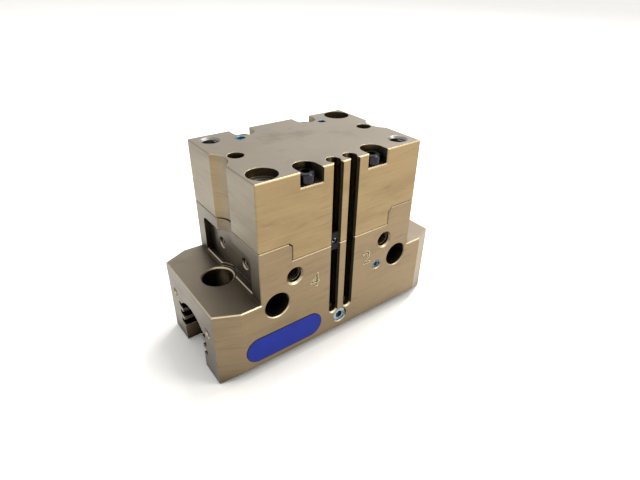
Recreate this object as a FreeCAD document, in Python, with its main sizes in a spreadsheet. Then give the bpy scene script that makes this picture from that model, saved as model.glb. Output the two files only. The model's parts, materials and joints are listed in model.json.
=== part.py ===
import FreeCAD
import Part
import math
import os
import Sketcher

# Two-finger parallel gripper with spring-assisted closing, millimetres.
# The origin is the middle of the footprint, on the plane of the finger faces.
# +X is the direction in which the right jaw opens, the air ports face -Y and
# the mounting face looks up +Z. The jaws are shown closed.

doc = FreeCAD.newDocument("parallel_gripper")
sheet = doc.addObject("Spreadsheet::Sheet", "Sizes")


class Size:
    """A length together with the sheet expression that gives it."""

    def __init__(self, value, text):
        self.value = value
        self.text = text

    def __add__(self, other):
        other = as_size(other)
        return Size(self.value + other.value, "(%s + %s)" % (self.text, other.text))

    def __sub__(self, other):
        other = as_size(other)
        return Size(self.value - other.value, "(%s - %s)" % (self.text, other.text))

    def __mul__(self, other):
        other = as_size(other)
        return Size(self.value * other.value, "(%s * %s)" % (self.text, other.text))

    def __truediv__(self, other):
        other = as_size(other)
        return Size(self.value / other.value, "(%s / %s)" % (self.text, other.text))

    def __neg__(self):
        return Size(-self.value, "(-1 * %s)" % self.text)


def as_size(number):
    if isinstance(number, Size):
        return number
    return Size(float(number), repr(float(number)))


def size(name, value, note):
    """Write one driving dimension in the sheet and return it."""
    size.row += 1
    sheet.set("A%d" % size.row, note)
    sheet.set("B%d" % size.row, repr(value))
    sheet.setAlias("B%d" % size.row, name)
    return Size(float(value), "Sizes." + name)


size.row = 0
zero = as_size(0)

# Driving dimensions of the outside
body_length = size("body_length", 89.5, "housing length along the jaw travel")
body_depth = size("body_depth", 42.0, "front to back")
top_level = size("top_level", 66.0, "mounting face above the finger faces")
jaw_proud = size("jaw_proud", 0.3, "finger faces stand below the housing")
shoulder_level = size("shoulder_level", 27.2, "top of the end shoulders")
end_width = size("end_width", 34.7, "width of the flat end faces")
corner_run = size("corner_run", 7.7, "length of the corner chamfers")
base_bevel = size("base_bevel", 3.65, "bevel of the long bottom edges")
block_length = size("block_length", 60.7, "length of the upper block")
ear_level = size("ear_level", 45.0, "top of the housing ears")
seam_level = size("seam_level", 38.9, "joint face round the cylinder")

# Recess and tool passage in the two end walls of the block
recess_width = size("recess_width", 31.4, "wall recess, front to back")
recess_top = size("recess_top", 41.0, "upper edge of the wall recess")
recess_depth = size("recess_depth", 2.35, "depth of the wall recess")
recess_sill = size("recess_sill", 1.2, "sill under the wall recess")
recess_corner = size("recess_corner", 2.0, "corner radius of the wall recess")
recess_hole_spacing = size("recess_hole_spacing", 15.5, "threads in the recess")
recess_hole_level = size("recess_hole_level", 33.9, "height of the recess threads")
passage_offset = size("passage_offset", 34.2, "tool passage from the middle")
passage_bore = size("passage_bore", 13.2, "tool passage along the cover")
passage_ledge = size("passage_ledge", 0.4, "step of the passage at the joint")
access_bore = size("access_bore", 10.0, "access hole through the shoulder")

# Guide channel with three teeth on each side
mouth_width = size("mouth_width", 15.0, "channel width between the teeth")
tooth_depth = size("tooth_depth", 2.7, "depth of the guide grooves")
tooth_pitch = size("tooth_pitch", 3.6, "pitch of the guide grooves")
first_tooth = size("first_tooth", 7.6, "height of the lowest groove")
groove_root = size("groove_root", 1.8, "groove height at the root")
groove_mouth = size("groove_mouth", 2.4, "groove height at the mouth")
arch_width = size("arch_width", 16.0, "relief arch over the jaws")
arch_rise = size("arch_rise", 3.4, "rise of the relief arch")
guide_play = size("guide_play", 0.08, "jaw to guide, each side")

# Jaws and wedge hook, with 45 degree drive faces
jaw_stroke = size("jaw_stroke", 6.0, "travel of each jaw")
hook_bottom = size("hook_bottom", 2.0, "underside of the hook, closed")
hook_top = size("hook_top", 12.2, "top of the hook, closed")
hook_width = size("hook_width", 9.2, "hook width across the jaws")
neck_width = size("neck_width", 5.2, "width between the hook grooves")
neck_reach = size("neck_reach", 2.0, "hook groove, along the travel")
head_reach = size("head_reach", 2.4, "hook flange, along the travel")
hook_play = size("hook_play", 0.1, "hook to jaw, each side")
hook_room = size("hook_room", 1.0, "free space round the raised hook")
rod_bore_gap = size("rod_bore_gap", 0.6, "jaw to rod, closed")
finger_spacing = size("finger_spacing", 9.0, "finger threads of one jaw")
finger_core = size("finger_core", 3.3, "finger thread core")
sleeve_bore = size("sleeve_bore", 6.0, "seat of a finger sleeve")
sleeve_depth = size("sleeve_depth", 1.5, "depth of a finger sleeve seat")

# Cylinder, piston and springs
bore_length = size("bore_length", 32.0, "oval cylinder along the travel")
bore_width = size("bore_width", 23.0, "oval cylinder across")
cylinder_floor = size("cylinder_floor", 23.7, "bottom of the cylinder")
piston_gap = size("piston_gap", 0.5, "piston above the floor, closed")
piston_height = size("piston_height", 6.5, "piston height")
piston_play = size("piston_play", 0.1, "piston to bore, each side")
running_play = size("running_play", 0.05, "seals and rod to their mates")
fixed_play = size("fixed_play", 0.03, "screws, pins and rings in their seats")
seal_height = size("seal_height", 1.5, "height of a piston ring")
seal_width = size("seal_width", 1.9, "radial width of a piston ring")
seal_inset = size("seal_inset", 0.9, "piston ring from the piston face")
rod_diameter = size("rod_diameter", 8.0, "piston rod")
rod_seal_width = size("rod_seal_width", 2.0, "radial width of the rod ring")
rod_seal_height = size("rod_seal_height", 2.4, "height of the rod ring")
gasket_inset = size("gasket_inset", 0.8, "cylinder edge to the joint ring")
gasket_width = size("gasket_width", 1.5, "width of the joint ring")
gasket_height = size("gasket_height", 1.2, "height of the joint ring")
tongue_wall = size("tongue_wall", 0.8, "joint ring to the end of the cover tongue")
bolt_thread = size("bolt_thread", 4.0, "piston bolt thread")
bolt_head = size("bolt_head", 7.0, "piston bolt head")
bolt_head_height = size("bolt_head_height", 4.0, "height of the piston bolt head")
bolt_socket = size("bolt_socket", 3.0, "hexagon of the piston bolt")
bolt_length = size("bolt_length", 12.0, "piston bolt under the head")
magnet_diameter = size("magnet_diameter", 4.0, "switching magnet")
magnet_height = size("magnet_height", 3.0, "height of a switching magnet")
magnet_inset = size("magnet_inset", 4.3, "magnet axis from the piston edge")
spring_offset = size("spring_offset", 9.0, "spring axis from the middle")
spring_bore = size("spring_bore", 10.8, "spring bore in the cover")
spring_roof = size("spring_roof", 6.0, "cover left over the springs")
spring_wire = size("spring_wire", 1.4, "square spring wire")
spring_gap = size("spring_gap", 0.4, "spring to its bore")
spring_turns = size("spring_turns", 7.0, "turns of a spring")

# Switch slots on the front
slot_offset = size("slot_offset", 3.05, "slot from the middle")
slot_bore = size("slot_bore", 4.4, "round of the slot")
slot_mouth = size("slot_mouth", 2.7, "mouth of the slot")
slot_lip = size("slot_lip", 0.5, "lip left outside the round")
slot_end = size("slot_end", 11.7, "lower end of the slots")
stop_height = size("stop_height", 6.2, "slot stop")
stop_level = size("stop_level", 36.8, "underside of the slot stop")
stop_screw = size("stop_screw", 2.0, "grub screw of the slot stop")
stop_screw_length = size("stop_screw_length", 3.6, "length of that grub screw")

# Screws that hold the cover
screw_offset = size("screw_offset", 12.3, "cover screw from the middle")
screw_inset = size("screw_inset", 3.3, "cover screw from the face")
screw_thread = size("screw_thread", 3.0, "cover screw thread")
screw_head = size("screw_head", 5.5, "cover screw head")
screw_head_height = size("screw_head_height", 3.0, "height of the cover screw head")
screw_socket = size("screw_socket", 2.5, "hexagon of the cover screw")
screw_length = size("screw_length", 30.0, "cover screw under the head")
screw_passage = size("screw_passage", 3.4, "clearance hole in the cover")
pocket_width = size("pocket_width", 7.5, "screw pocket")
pocket_depth = size("pocket_depth", 4.6, "screw pocket below the top")
dowel_diameter = size("dowel_diameter", 3.0, "dowel between cover and housing")
dowel_length = size("dowel_length", 8.0, "dowel length")
dowel_offset = size("dowel_offset", 23.0, "dowel from the middle, along")
dowel_aside = size("dowel_aside", 8.0, "dowel from the middle, across")

# Holes in the mounting face
mount_spacing_along = size("mount_spacing_along", 50.0, "mounting threads, along")
mount_spacing_across = size("mount_spacing_across", 31.6, "mounting threads, across")
mount_core = size("mount_core", 5.0, "mounting thread core")
mount_rim = size("mount_rim", 6.4, "countersink of the mounting threads")
mount_depth = size("mount_depth", 14.0, "depth of the mounting threads")
seat_bore = size("seat_bore", 9.0, "seat of a centring sleeve")
seat_depth = size("seat_depth", 2.6, "depth of a centring sleeve seat")
pin_spacing = size("pin_spacing", 48.8, "locating holes")
pin_bore = size("pin_bore", 5.0, "locating hole")
pin_depth = size("pin_depth", 8.0, "depth of the locating holes")
plug_offset = size("plug_offset", 16.0, "top air plug from the middle, along")
plug_aside = size("plug_aside", 12.7, "top air plug from the middle, across")
plug_thread = size("plug_thread", 3.0, "air plug thread")
plug_length = size("plug_length", 4.0, "air plug length")
plug_socket = size("plug_socket", 1.5, "hexagon of an air plug")
plug_sink = size("plug_sink", 0.5, "air plug below the face")

# Holes in the front and in the ends
port_offset = size("port_offset", 18.3, "air port from the middle")
port_level = size("port_level", 33.1, "height of the air ports")
port_bore = size("port_bore", 5.0, "air port at its nominal thread size")
port_rim = size("port_rim", 6.2, "countersink of an air port")
port_depth = size("port_depth", 8.0, "depth of an air port")
sensor_offset = size("sensor_offset", 24.8, "switch bore from the middle")
sensor_level = size("sensor_level", 24.8, "height of the switch bores")
sensor_bore = size("sensor_bore", 8.5, "switch bore")
sensor_depth = size("sensor_depth", 14.0, "depth of the switch bores")
duct_offset = size("duct_offset", 15.8, "front duct plug from the middle")
duct_level = size("duct_level", 23.9, "height of the front duct plug")
grease_level = size("grease_level", 8.9, "height of the grease port")
grease_thread = size("grease_thread", 5.0, "grease port screw")
grease_length = size("grease_length", 5.0, "grease port screw length")
grease_socket = size("grease_socket", 2.5, "hexagon of the grease port screw")
grease_duct = size("grease_duct", 2.5, "duct behind the grease port screw")
end_hole_spacing = size("end_hole_spacing", 24.8, "threads in an end face")
end_hole_level = size("end_hole_level", 17.75, "height of the end threads")
end_hole_core = size("end_hole_core", 2.5, "end thread core")
end_hole_rim = size("end_hole_rim", 3.4, "countersink of the end threads")
end_hole_depth = size("end_hole_depth", 7.0, "depth of the end threads")
recess_hole_core = size("recess_hole_core", 3.3, "recess thread core")
recess_hole_rim = size("recess_hole_rim", 4.1, "countersink of the recess threads")
recess_hole_depth = size("recess_hole_depth", 6.0, "depth of the recess threads")
rim_break = size("rim_break", 0.3, "broken rim of plain holes")
access_break = size("access_break", 0.4, "broken rim of the access holes")
edge_break = size("edge_break", 0.3, "broken outer edges")
ear_corner = size("ear_corner", 1.2, "bevel on the inner corner of the ears")
slot_break = size("slot_break", 0.5, "broken edges of the slot mouths")

# Derived places
half_length = body_length / 2
half_depth = body_depth / 2
half_end = end_width / 2
half_block = block_length / 2
half_tongue = bore_length / 2 + gasket_inset + gasket_width + tongue_wall
last_tooth = first_tooth + tooth_pitch * 2
channel_roof = last_tooth + groove_root / 2
jaw_top = channel_roof - guide_play
jaw_end = half_length - jaw_stroke
jaw_start = rod_diameter / 2 + rod_bore_gap
drive_line = rod_diameter / 2 + hook_top
neck_line = drive_line + neck_reach
head_line = neck_line + head_reach
piston_rest = cylinder_floor + piston_gap
piston_top = piston_rest + piston_height
bore_radius = bore_width / 2
bore_half = (bore_length - bore_width) / 2
slot_place = half_depth - slot_lip - slot_bore / 2
screw_place = half_depth - screw_inset
screw_seat = top_level - pocket_depth
spring_top = top_level - spring_roof
overcut = as_size(1)

doc.recompute()


def new_body(label):
    body = doc.addObject("PartDesign::Body", label)
    body.Label = label
    return body


def new_sketch(body, name, role, level):
    """Sketch on an origin plane of the body, moved along the plane's normal."""
    sketch = body.newObject("Sketcher::SketchObject", body.Label + "_" + name)
    for feature in body.Origin.OriginFeatures:
        if feature.Role == role:
            sketch.AttachmentSupport = (feature, [""])
    sketch.MapMode = "FlatFace"
    sketch.setExpression("AttachmentOffset.Base.z", as_size(level).text)
    return sketch


def bind(sketch, constraint, length):
    index = sketch.addConstraint(constraint)
    sketch.setExpression("Constraints[%d]" % index, length.text)


def pin_point(sketch, curve, point, across, up):
    """Fix a point of a curve at two bound coordinates."""
    bind(sketch, Sketcher.Constraint("DistanceX", curve, point, across.value), across)
    bind(sketch, Sketcher.Constraint("DistanceY", curve, point, up.value), up)


def flat(across, up):
    return FreeCAD.Vector(across.value, up.value, 0)


def draw_polygon(sketch, corners):
    """Closed outline of straight lines with every corner bound."""
    corners = [(as_size(across), as_size(up)) for across, up in corners]
    first = sketch.GeometryCount
    count = len(corners)
    for index in range(count):
        start = flat(*corners[index])
        end = flat(*corners[(index + 1) % count])
        sketch.addGeometry(Part.LineSegment(start, end))
    for index in range(count):
        follower = first + (index + 1) % count
        sketch.addConstraint(Sketcher.Constraint("Coincident", first + index, 2, follower, 1))
        pin_point(sketch, first + index, 1, *corners[index])


def draw_box(sketch, left, right, low, high):
    draw_polygon(sketch, [(left, low), (right, low), (right, high), (left, high)])


def draw_circle(sketch, across, up, diameter):
    radius = diameter / 2
    across = as_size(across)
    up = as_size(up)
    circle = Part.Circle(flat(across, up), FreeCAD.Vector(0, 0, 1), radius.value)
    index = sketch.addGeometry(circle)
    pin_point(sketch, index, 3, across, up)
    bind(sketch, Sketcher.Constraint("Radius", index, radius.value), radius)


def draw_oval(sketch, half, radius):
    """Slot outline: two half circles joined by straight sides."""
    normal = FreeCAD.Vector(0, 0, 1)
    first = sketch.GeometryCount
    for side, begin in ((1, -math.pi / 2), (-1, math.pi / 2)):
        circle = Part.Circle(FreeCAD.Vector(side * half.value, 0, 0), normal, radius.value)
        sketch.addGeometry(Part.ArcOfCircle(circle, begin, begin + math.pi))
    upper_start = flat(half, radius)
    upper_end = flat(-half, radius)
    sketch.addGeometry(Part.LineSegment(upper_start, upper_end))
    lower_start = flat(-half, -radius)
    lower_end = flat(half, -radius)
    sketch.addGeometry(Part.LineSegment(lower_start, lower_end))
    right, left, upper, lower = range(first, first + 4)
    for one, one_end, other, other_end in (
        (right, 2, upper, 1),
        (upper, 2, left, 1),
        (left, 2, lower, 1),
        (lower, 2, right, 1),
    ):
        sketch.addConstraint(Sketcher.Constraint("Coincident", one, one_end, other, other_end))
    pin_point(sketch, upper, 1, half, radius)
    pin_point(sketch, upper, 2, -half, radius)
    pin_point(sketch, lower, 1, -half, -radius)
    pin_point(sketch, lower, 2, half, -radius)
    bind(sketch, Sketcher.Constraint("DistanceX", right, 3, half.value), half)
    bind(sketch, Sketcher.Constraint("DistanceX", left, 3, -half.value), -half)


def draw_hexagon(sketch, flats):
    """Regular hexagon given across its flats."""
    side = flats / math.sqrt(3)
    half = flats / 2
    corners = [
        (zero, -side),
        (half, -side / 2),
        (half, side / 2),
        (zero, side),
        (-half, side / 2),
        (-half, -side / 2),
    ]
    draw_polygon(sketch, corners)


def pad(body, sketch, length, both_ways=False):
    feature = body.newObject("PartDesign::Pad", sketch.Label + "_pad")
    feature.Profile = sketch
    feature.setExpression("Length", as_size(length).text)
    if both_ways:
        feature.SideType = "Symmetric"
    return feature


def pocket(body, sketch, length=None, both_ways=False, turned=False):
    """Cut a sketch into the body, right through if no length is given."""
    feature = body.newObject("PartDesign::Pocket", sketch.Label + "_cut")
    feature.Profile = sketch
    if length is None:
        feature.Type = "ThroughAll"
    else:
        feature.setExpression("Length", as_size(length).text)
    if both_ways:
        feature.SideType = "Symmetric"
    feature.Reversed = turned
    return feature


def drill(body, name, role, level, places, core, depth=None, turned=False, cut=None):
    """Holes with a flat bottom. cut is (kind, diameter, depth) at the mouth."""
    sketch = new_sketch(body, name, role, level)
    for across, up in places:
        draw_circle(sketch, across, up, core)
    doc.recompute()
    hole = body.newObject("PartDesign::Hole", body.Label + "_" + name + "_hole")
    hole.Profile = sketch
    doc.recompute()
    hole.ThreadType = 0
    hole.Threaded = False
    hole.Reversed = turned
    hole.setExpression("Diameter", core.text)
    hole.DrillPoint = "Flat"
    if depth is None:
        hole.DepthType = "ThroughAll"
    else:
        hole.DepthType = "Dimension"
        hole.setExpression("Depth", depth.text)
    if cut is not None:
        kind, diameter, cut_depth = cut
        hole.HoleCutType = kind
        hole.HoleCutCustomValues = True
        hole.setExpression("HoleCutDiameter", diameter.text)
        if kind == "Countersink":
            hole.HoleCutCountersinkAngle = 90
        else:
            hole.setExpression("HoleCutDepth", cut_depth.text)
    doc.recompute()
    return hole


def edge_names(body, wanted):
    """Names of the edges of a body whose ends pass a test; on a circle both are one point."""
    doc.recompute()
    names = []
    for index, edge in enumerate(body.Shape.Edges):
        points = [vertex.Point for vertex in edge.Vertexes]
        if points and wanted(points[0], points[-1]):
            names.append("Edge%d" % (index + 1))
    return names


def break_edges(body, name, width, wanted):
    """Bevel the edges of a body that pass a test."""
    names = edge_names(body, wanted)
    base = body.Tip
    bevel = body.newObject("PartDesign::Chamfer", body.Label + "_" + name)
    bevel.Base = (base, names)
    bevel.setExpression("Size", width.text)
    doc.recompute()


match = 0.01


def near(one, other):
    """Whether two measures agree to a hundredth of a millimetre."""
    return abs(one - other) < match


def flare(middle):
    """Bevelled edges of a slot mouth in the front face, seen from above."""
    half = slot_mouth / 2
    return [
        (middle - half - slot_break, -half_depth),
        (middle + half + slot_break, -half_depth),
        (middle + half, slot_break - half_depth),
        (middle - half, slot_break - half_depth),
    ]


def pairs(along, across):
    """The four places at plus and minus two distances."""
    return [(along * x, across * y) for x in (-1, 1) for y in (-1, 1)]


def guide_profile(play, low):
    """Cross-section of the guide: a mouth and three teeth on each side."""
    neck = mouth_width / 2 - play
    reach = mouth_width / 2 + tooth_depth - play
    right = [(neck, low)]
    for index in range(3):
        middle = first_tooth + tooth_pitch * index
        outer = groove_mouth / 2 - play
        inner = groove_root / 2 - play
        right.append((neck, middle - outer))
        right.append((reach, middle - inner))
        right.append((reach, middle + inner))
        if index < 2:
            right.append((neck, middle + outer))
    left = [(-across, up) for across, up in reversed(right)]
    return right + left


def slanted(start, end, low, high):
    """Strip between two 45 degree drive lines, for the right-hand jaw."""
    return [
        (start - low, low),
        (end - low, low),
        (end - high, high),
        (start - high, high),
    ]


def mirrored(corners):
    return [(-across, up) for across, up in reversed(corners)]


# Housing: base with shoulders, barrel block and ears
housing = new_body("housing")
plan = new_sketch(housing, "plan", "XY_Plane", jaw_proud)
draw_polygon(plan, [
    (-half_length, -half_end),
    (corner_run - half_length, -half_depth),
    (half_length - corner_run, -half_depth),
    (half_length, -half_end),
    (half_length, half_end),
    (half_length - corner_run, half_depth),
    (corner_run - half_length, half_depth),
    (-half_length, half_end),
])
pad(housing, plan, shoulder_level - jaw_proud)
barrel = new_sketch(housing, "barrel", "XZ_Plane", zero)
draw_polygon(barrel, [
    (-half_block, shoulder_level),
    (half_block, shoulder_level),
    (half_block, ear_level),
    (half_tongue + ear_corner, ear_level),
    (half_tongue, ear_level - ear_corner),
    (half_tongue, seam_level),
    (-half_tongue, seam_level),
    (-half_tongue, ear_level - ear_corner),
    (-half_tongue - ear_corner, ear_level),
    (-half_block, ear_level),
])
pad(housing, barrel, body_depth, both_ways=True)


def on_housing_outline(start, end):
    """Edges of the front, back and end walls from the shoulders up."""
    above = min(start.z, end.z) > shoulder_level.value - match
    outer = near(abs(start.y), half_depth.value) and near(start.y, end.y)
    shoulder = near(start.z, shoulder_level.value) and near(end.z, shoulder_level.value)
    shoulder = shoulder and min(abs(start.x), abs(end.x)) > half_block.value + match
    wall = near(abs(start.x), half_block.value) and near(start.x, end.x)
    wall_top = wall and near(start.z, ear_level.value) and near(end.z, ear_level.value)
    return above and (outer or shoulder or wall_top)


break_edges(housing, "edge_break", edge_break, on_housing_outline)
bevel = new_sketch(housing, "bevel", "YZ_Plane", half_length)
bevel_corners = [
    (half_depth - base_bevel, jaw_proud),
    (half_depth, jaw_proud),
    (half_depth, jaw_proud + base_bevel),
]
draw_polygon(bevel, bevel_corners)
draw_polygon(bevel, mirrored(bevel_corners))
pocket(housing, bevel)

# Recesses in the end walls and the tool passages over the shoulders
for side, word in ((1, "right"), (-1, "left")):
    recess = new_sketch(housing, "recess_" + word, "YZ_Plane", half_block * side)
    recess_half = recess_width / 2
    draw_box(recess, -recess_half, recess_half, shoulder_level + recess_sill, recess_top)
    pocket(housing, recess, recess_depth, turned=side < 0)


def on_recess_corner(start, end):
    middle = (start + end) / 2
    across = near(start.y, end.y) and near(start.z, end.z)
    aside = near(abs(middle.y), recess_width.value / 2)
    return across and aside and near(middle.z, recess_top.value)


corner_edges = edge_names(housing, on_recess_corner)
recessed = housing.Tip
rounding = housing.newObject("PartDesign::Fillet", "housing_recess_rounding")
rounding.Base = (recessed, corner_edges)
rounding.setExpression("Radius", recess_corner.text)


def on_recess_sill(start, end):
    """Outer edge of the step under a recess."""
    sill_level = shoulder_level.value + recess_sill.value
    outer = near(abs(start.x), half_block.value) and near(start.x, end.x)
    level = near(start.z, sill_level) and near(end.z, sill_level)
    return outer and level and max(abs(start.y), abs(end.y)) < recess_width.value / 2 + match


break_edges(housing, "sill_break", edge_break, on_recess_sill)
passage_places = [(-passage_offset, zero), (passage_offset, zero)]
passage = new_sketch(housing, "passage", "XY_Plane", ear_level)
for across, up in passage_places:
    draw_circle(passage, across, up, passage_bore - passage_ledge * 2)
pocket(housing, passage, ear_level - shoulder_level)
drill(housing, "access", "XY_Plane", shoulder_level, passage_places, access_bore,
      shoulder_level - channel_roof, cut=("Countersink", access_bore + access_break * 2, None))

# Guide channel with its relief arch and the room for the raised hook
channel = new_sketch(housing, "channel", "YZ_Plane", half_length)
draw_polygon(channel, guide_profile(zero, zero))
pocket(housing, channel)
arch = new_sketch(housing, "arch", "YZ_Plane", half_length)
arch_half = arch_width / 2
arch_radius = (arch_half * arch_half + arch_rise * arch_rise) / (arch_rise * 2)
arch.addGeometry(Part.LineSegment(flat(-arch_half, channel_roof), flat(arch_half, channel_roof)))
arch_peak = flat(zero, channel_roof + arch_rise)
arch_arc = Part.Arc(flat(arch_half, channel_roof), arch_peak, flat(-arch_half, channel_roof))
arch.addGeometry(arch_arc)
arch.addConstraint(Sketcher.Constraint("Coincident", 0, 2, 1, 1))
arch.addConstraint(Sketcher.Constraint("Coincident", 0, 1, 1, 2))
pin_point(arch, 0, 1, -arch_half, channel_roof)
pin_point(arch, 0, 2, arch_half, channel_roof)
bind(arch, Sketcher.Constraint("Radius", 1, arch_radius.value), arch_radius)
pocket(housing, arch)
hook_roof = hook_top + jaw_stroke + hook_room
room = new_sketch(housing, "hook_room", "XY_Plane", hook_roof)
room_half = head_line - hook_top + hook_room
room_aside = hook_width / 2 + hook_room
draw_box(room, -room_half, room_half, -room_aside, room_aside)
pocket(housing, room, hook_roof - first_tooth)

# Oval cylinder with the rod bore and the seat of the rod ring
cylinder = new_sketch(housing, "cylinder", "XY_Plane", seam_level)
draw_oval(cylinder, bore_half, bore_radius)
pocket(housing, cylinder, seam_level - cylinder_floor)
rod_seat = new_sketch(housing, "rod_seat", "XY_Plane", cylinder_floor)
draw_circle(rod_seat, zero, zero, rod_diameter + running_play * 2 + rod_seal_width * 2)
pocket(housing, rod_seat, rod_seal_height)
rod_bore = new_sketch(housing, "rod_bore", "XY_Plane", cylinder_floor)
draw_circle(rod_bore, zero, zero, rod_diameter + running_play * 2)
pocket(housing, rod_bore, cylinder_floor - first_tooth)

# Switch slots, cover threads, dowel holes, ports and the other drilled holes
rounds = new_sketch(housing, "slot_rounds", "XY_Plane", seam_level)
mouths = new_sketch(housing, "slot_mouths", "XY_Plane", seam_level)
flares = new_sketch(housing, "slot_flares", "XY_Plane", seam_level)
for side in (-1, 1):
    middle = slot_offset * side
    draw_circle(rounds, middle, -slot_place, slot_bore)
    draw_box(mouths, middle - slot_mouth / 2, middle + slot_mouth / 2, -half_depth, -slot_place)
    draw_polygon(flares, flare(middle))
slot_floor = slot_end + slot_mouth / 2
for outline in (rounds, mouths, flares):
    pocket(housing, outline, seam_level - slot_floor)
slot_ends = [(-slot_offset, slot_floor), (slot_offset, slot_floor)]
drill(housing, "slot_ends", "XZ_Plane", half_depth, slot_ends, slot_mouth,
      half_depth - slot_place, cut=("Countersink", slot_mouth + slot_break * 2, None))
screw_tip = screw_seat - screw_length
threads = new_sketch(housing, "cover_threads", "XY_Plane", seam_level)
for across, up in pairs(screw_offset, screw_place):
    draw_circle(threads, across, up, screw_thread + fixed_play * 2)
pocket(housing, threads, seam_level - screw_tip + overcut)
pin_places = [(-dowel_offset, dowel_aside), (dowel_offset, -dowel_aside)]
pins = new_sketch(housing, "dowel_holes", "XY_Plane", ear_level)
for across, up in pin_places:
    draw_circle(pins, across, up, dowel_diameter + fixed_play * 2)
pocket(housing, pins, dowel_length / 2 + fixed_play)

port_places = [(-port_offset, port_level), (port_offset, port_level)]
drill(housing, "ports", "XZ_Plane", half_depth, port_places, port_bore, port_depth,
      cut=("Countersink", port_rim, None))
sensor_places = [(-sensor_offset, sensor_level), (sensor_offset, sensor_level)]
drill(housing, "sensor_bores", "XZ_Plane", half_depth, sensor_places, sensor_bore,
      sensor_depth, cut=("Countersink", sensor_bore + rim_break * 2, None))
plug_hole = plug_thread + fixed_play * 2
plug_hole_depth = plug_length + plug_sink + fixed_play
drill(housing, "duct", "XZ_Plane", half_depth, [(duct_offset, duct_level)], plug_hole,
      plug_hole_depth, cut=("Countersink", plug_hole + rim_break * 2, None))
grease_hole = grease_thread + fixed_play * 2
drill(housing, "grease", "XZ_Plane", half_depth, [(zero, grease_level)], grease_hole,
      grease_length + plug_sink + fixed_play,
      cut=("Countersink", grease_hole + rim_break * 2, None))
grease_run = new_sketch(housing, "grease_run", "XZ_Plane", half_depth)
draw_circle(grease_run, zero, grease_level, grease_duct)
pocket(housing, grease_run, half_depth)
for side, word in ((1, "right"), (-1, "left")):
    end_places = [(end_hole_spacing / -2, end_hole_level), (end_hole_spacing / 2, end_hole_level)]
    drill(housing, "end_holes_" + word, "YZ_Plane", half_length * side, end_places,
          end_hole_core, end_hole_depth, turned=side < 0,
          cut=("Countersink", end_hole_rim, None))
    wall = (half_block - recess_depth) * side
    wall_places = [
        (recess_hole_spacing / -2, recess_hole_level),
        (recess_hole_spacing / 2, recess_hole_level),
    ]
    drill(housing, "recess_holes_" + word, "YZ_Plane", wall, wall_places,
          recess_hole_core, recess_hole_depth, turned=side < 0,
          cut=("Countersink", recess_hole_rim, None))

# Spring cover with its tongue, closing the cylinder
cover = new_body("spring_cover")
section = new_sketch(cover, "section", "XZ_Plane", zero)
tongue_edge = half_tongue - fixed_play
draw_polygon(section, [
    (-tongue_edge, seam_level),
    (tongue_edge, seam_level),
    (tongue_edge, ear_level - ear_corner),
    (tongue_edge + ear_corner, ear_level),
    (half_block, ear_level),
    (half_block, top_level),
    (-half_block, top_level),
    (-half_block, ear_level),
    (-tongue_edge - ear_corner, ear_level),
    (-tongue_edge, ear_level - ear_corner),
])
pad(cover, section, body_depth, both_ways=True)


def on_cover_outline(start, end):
    """Edges of the front and back, and the upper and lower edges of the end walls."""
    outer = near(abs(start.y), half_depth.value) and near(start.y, end.y)
    wall = near(abs(start.x), half_block.value) and near(start.x, end.x)
    return outer or (wall and near(start.z, end.z))


break_edges(cover, "edge_break", edge_break, on_cover_outline)
cover_passage = new_sketch(cover, "passage", "XY_Plane", top_level)
for across, up in passage_places:
    draw_circle(cover_passage, across, up, passage_bore)
pocket(cover, cover_passage)
cover_rounds = new_sketch(cover, "slot_rounds", "XY_Plane", top_level)
cover_mouths = new_sketch(cover, "slot_mouths", "XY_Plane", top_level)
cover_flares = new_sketch(cover, "slot_flares", "XY_Plane", top_level)
spring_wells = new_sketch(cover, "spring_wells", "XY_Plane", seam_level)
for side in (-1, 1):
    middle = slot_offset * side
    draw_circle(cover_rounds, middle, -slot_place, slot_bore)
    draw_box(cover_mouths, middle - slot_mouth / 2, middle + slot_mouth / 2,
             -half_depth, -slot_place)
    draw_polygon(cover_flares, flare(middle))
    draw_circle(spring_wells, spring_offset * side, zero, spring_bore)
pocket(cover, cover_rounds)
pocket(cover, cover_mouths)
pocket(cover, cover_flares)
pocket(cover, spring_wells, spring_top - seam_level, turned=True)
gasket_seat = new_sketch(cover, "gasket_seat", "XY_Plane", seam_level)
gasket_inner = bore_radius + gasket_inset
gasket_outer = gasket_inner + gasket_width
draw_oval(gasket_seat, bore_half, gasket_inner - fixed_play)
draw_oval(gasket_seat, bore_half, gasket_outer + fixed_play)
pocket(cover, gasket_seat, gasket_height, turned=True)

# Screw pockets, open to the front and back faces
wells = new_sketch(cover, "screw_wells", "XY_Plane", top_level)
for across, up in pairs(screw_offset, screw_place):
    draw_circle(wells, across, up, pocket_width)
pocket(cover, wells, pocket_depth)
gates = new_sketch(cover, "screw_gates", "XY_Plane", top_level)
for side in (-1, 1):
    middle = screw_offset * side
    left = middle - pocket_width / 2
    right = middle + pocket_width / 2
    front_gate = [
        (left - edge_break, -half_depth),
        (right + edge_break, -half_depth),
        (right, edge_break - half_depth),
        (right, -screw_place),
        (left, -screw_place),
        (left, edge_break - half_depth),
    ]
    draw_polygon(gates, front_gate)
    draw_polygon(gates, [(across, -up) for across, up in reversed(front_gate)])
pocket(cover, gates, pocket_depth)


def on_sill(start, end):
    """Sill of a screw pocket in the front or back face."""
    outer = near(abs(start.y), half_depth.value) and near(start.y, end.y)
    return outer and near(start.z, screw_seat.value) and near(end.z, screw_seat.value)


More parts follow.
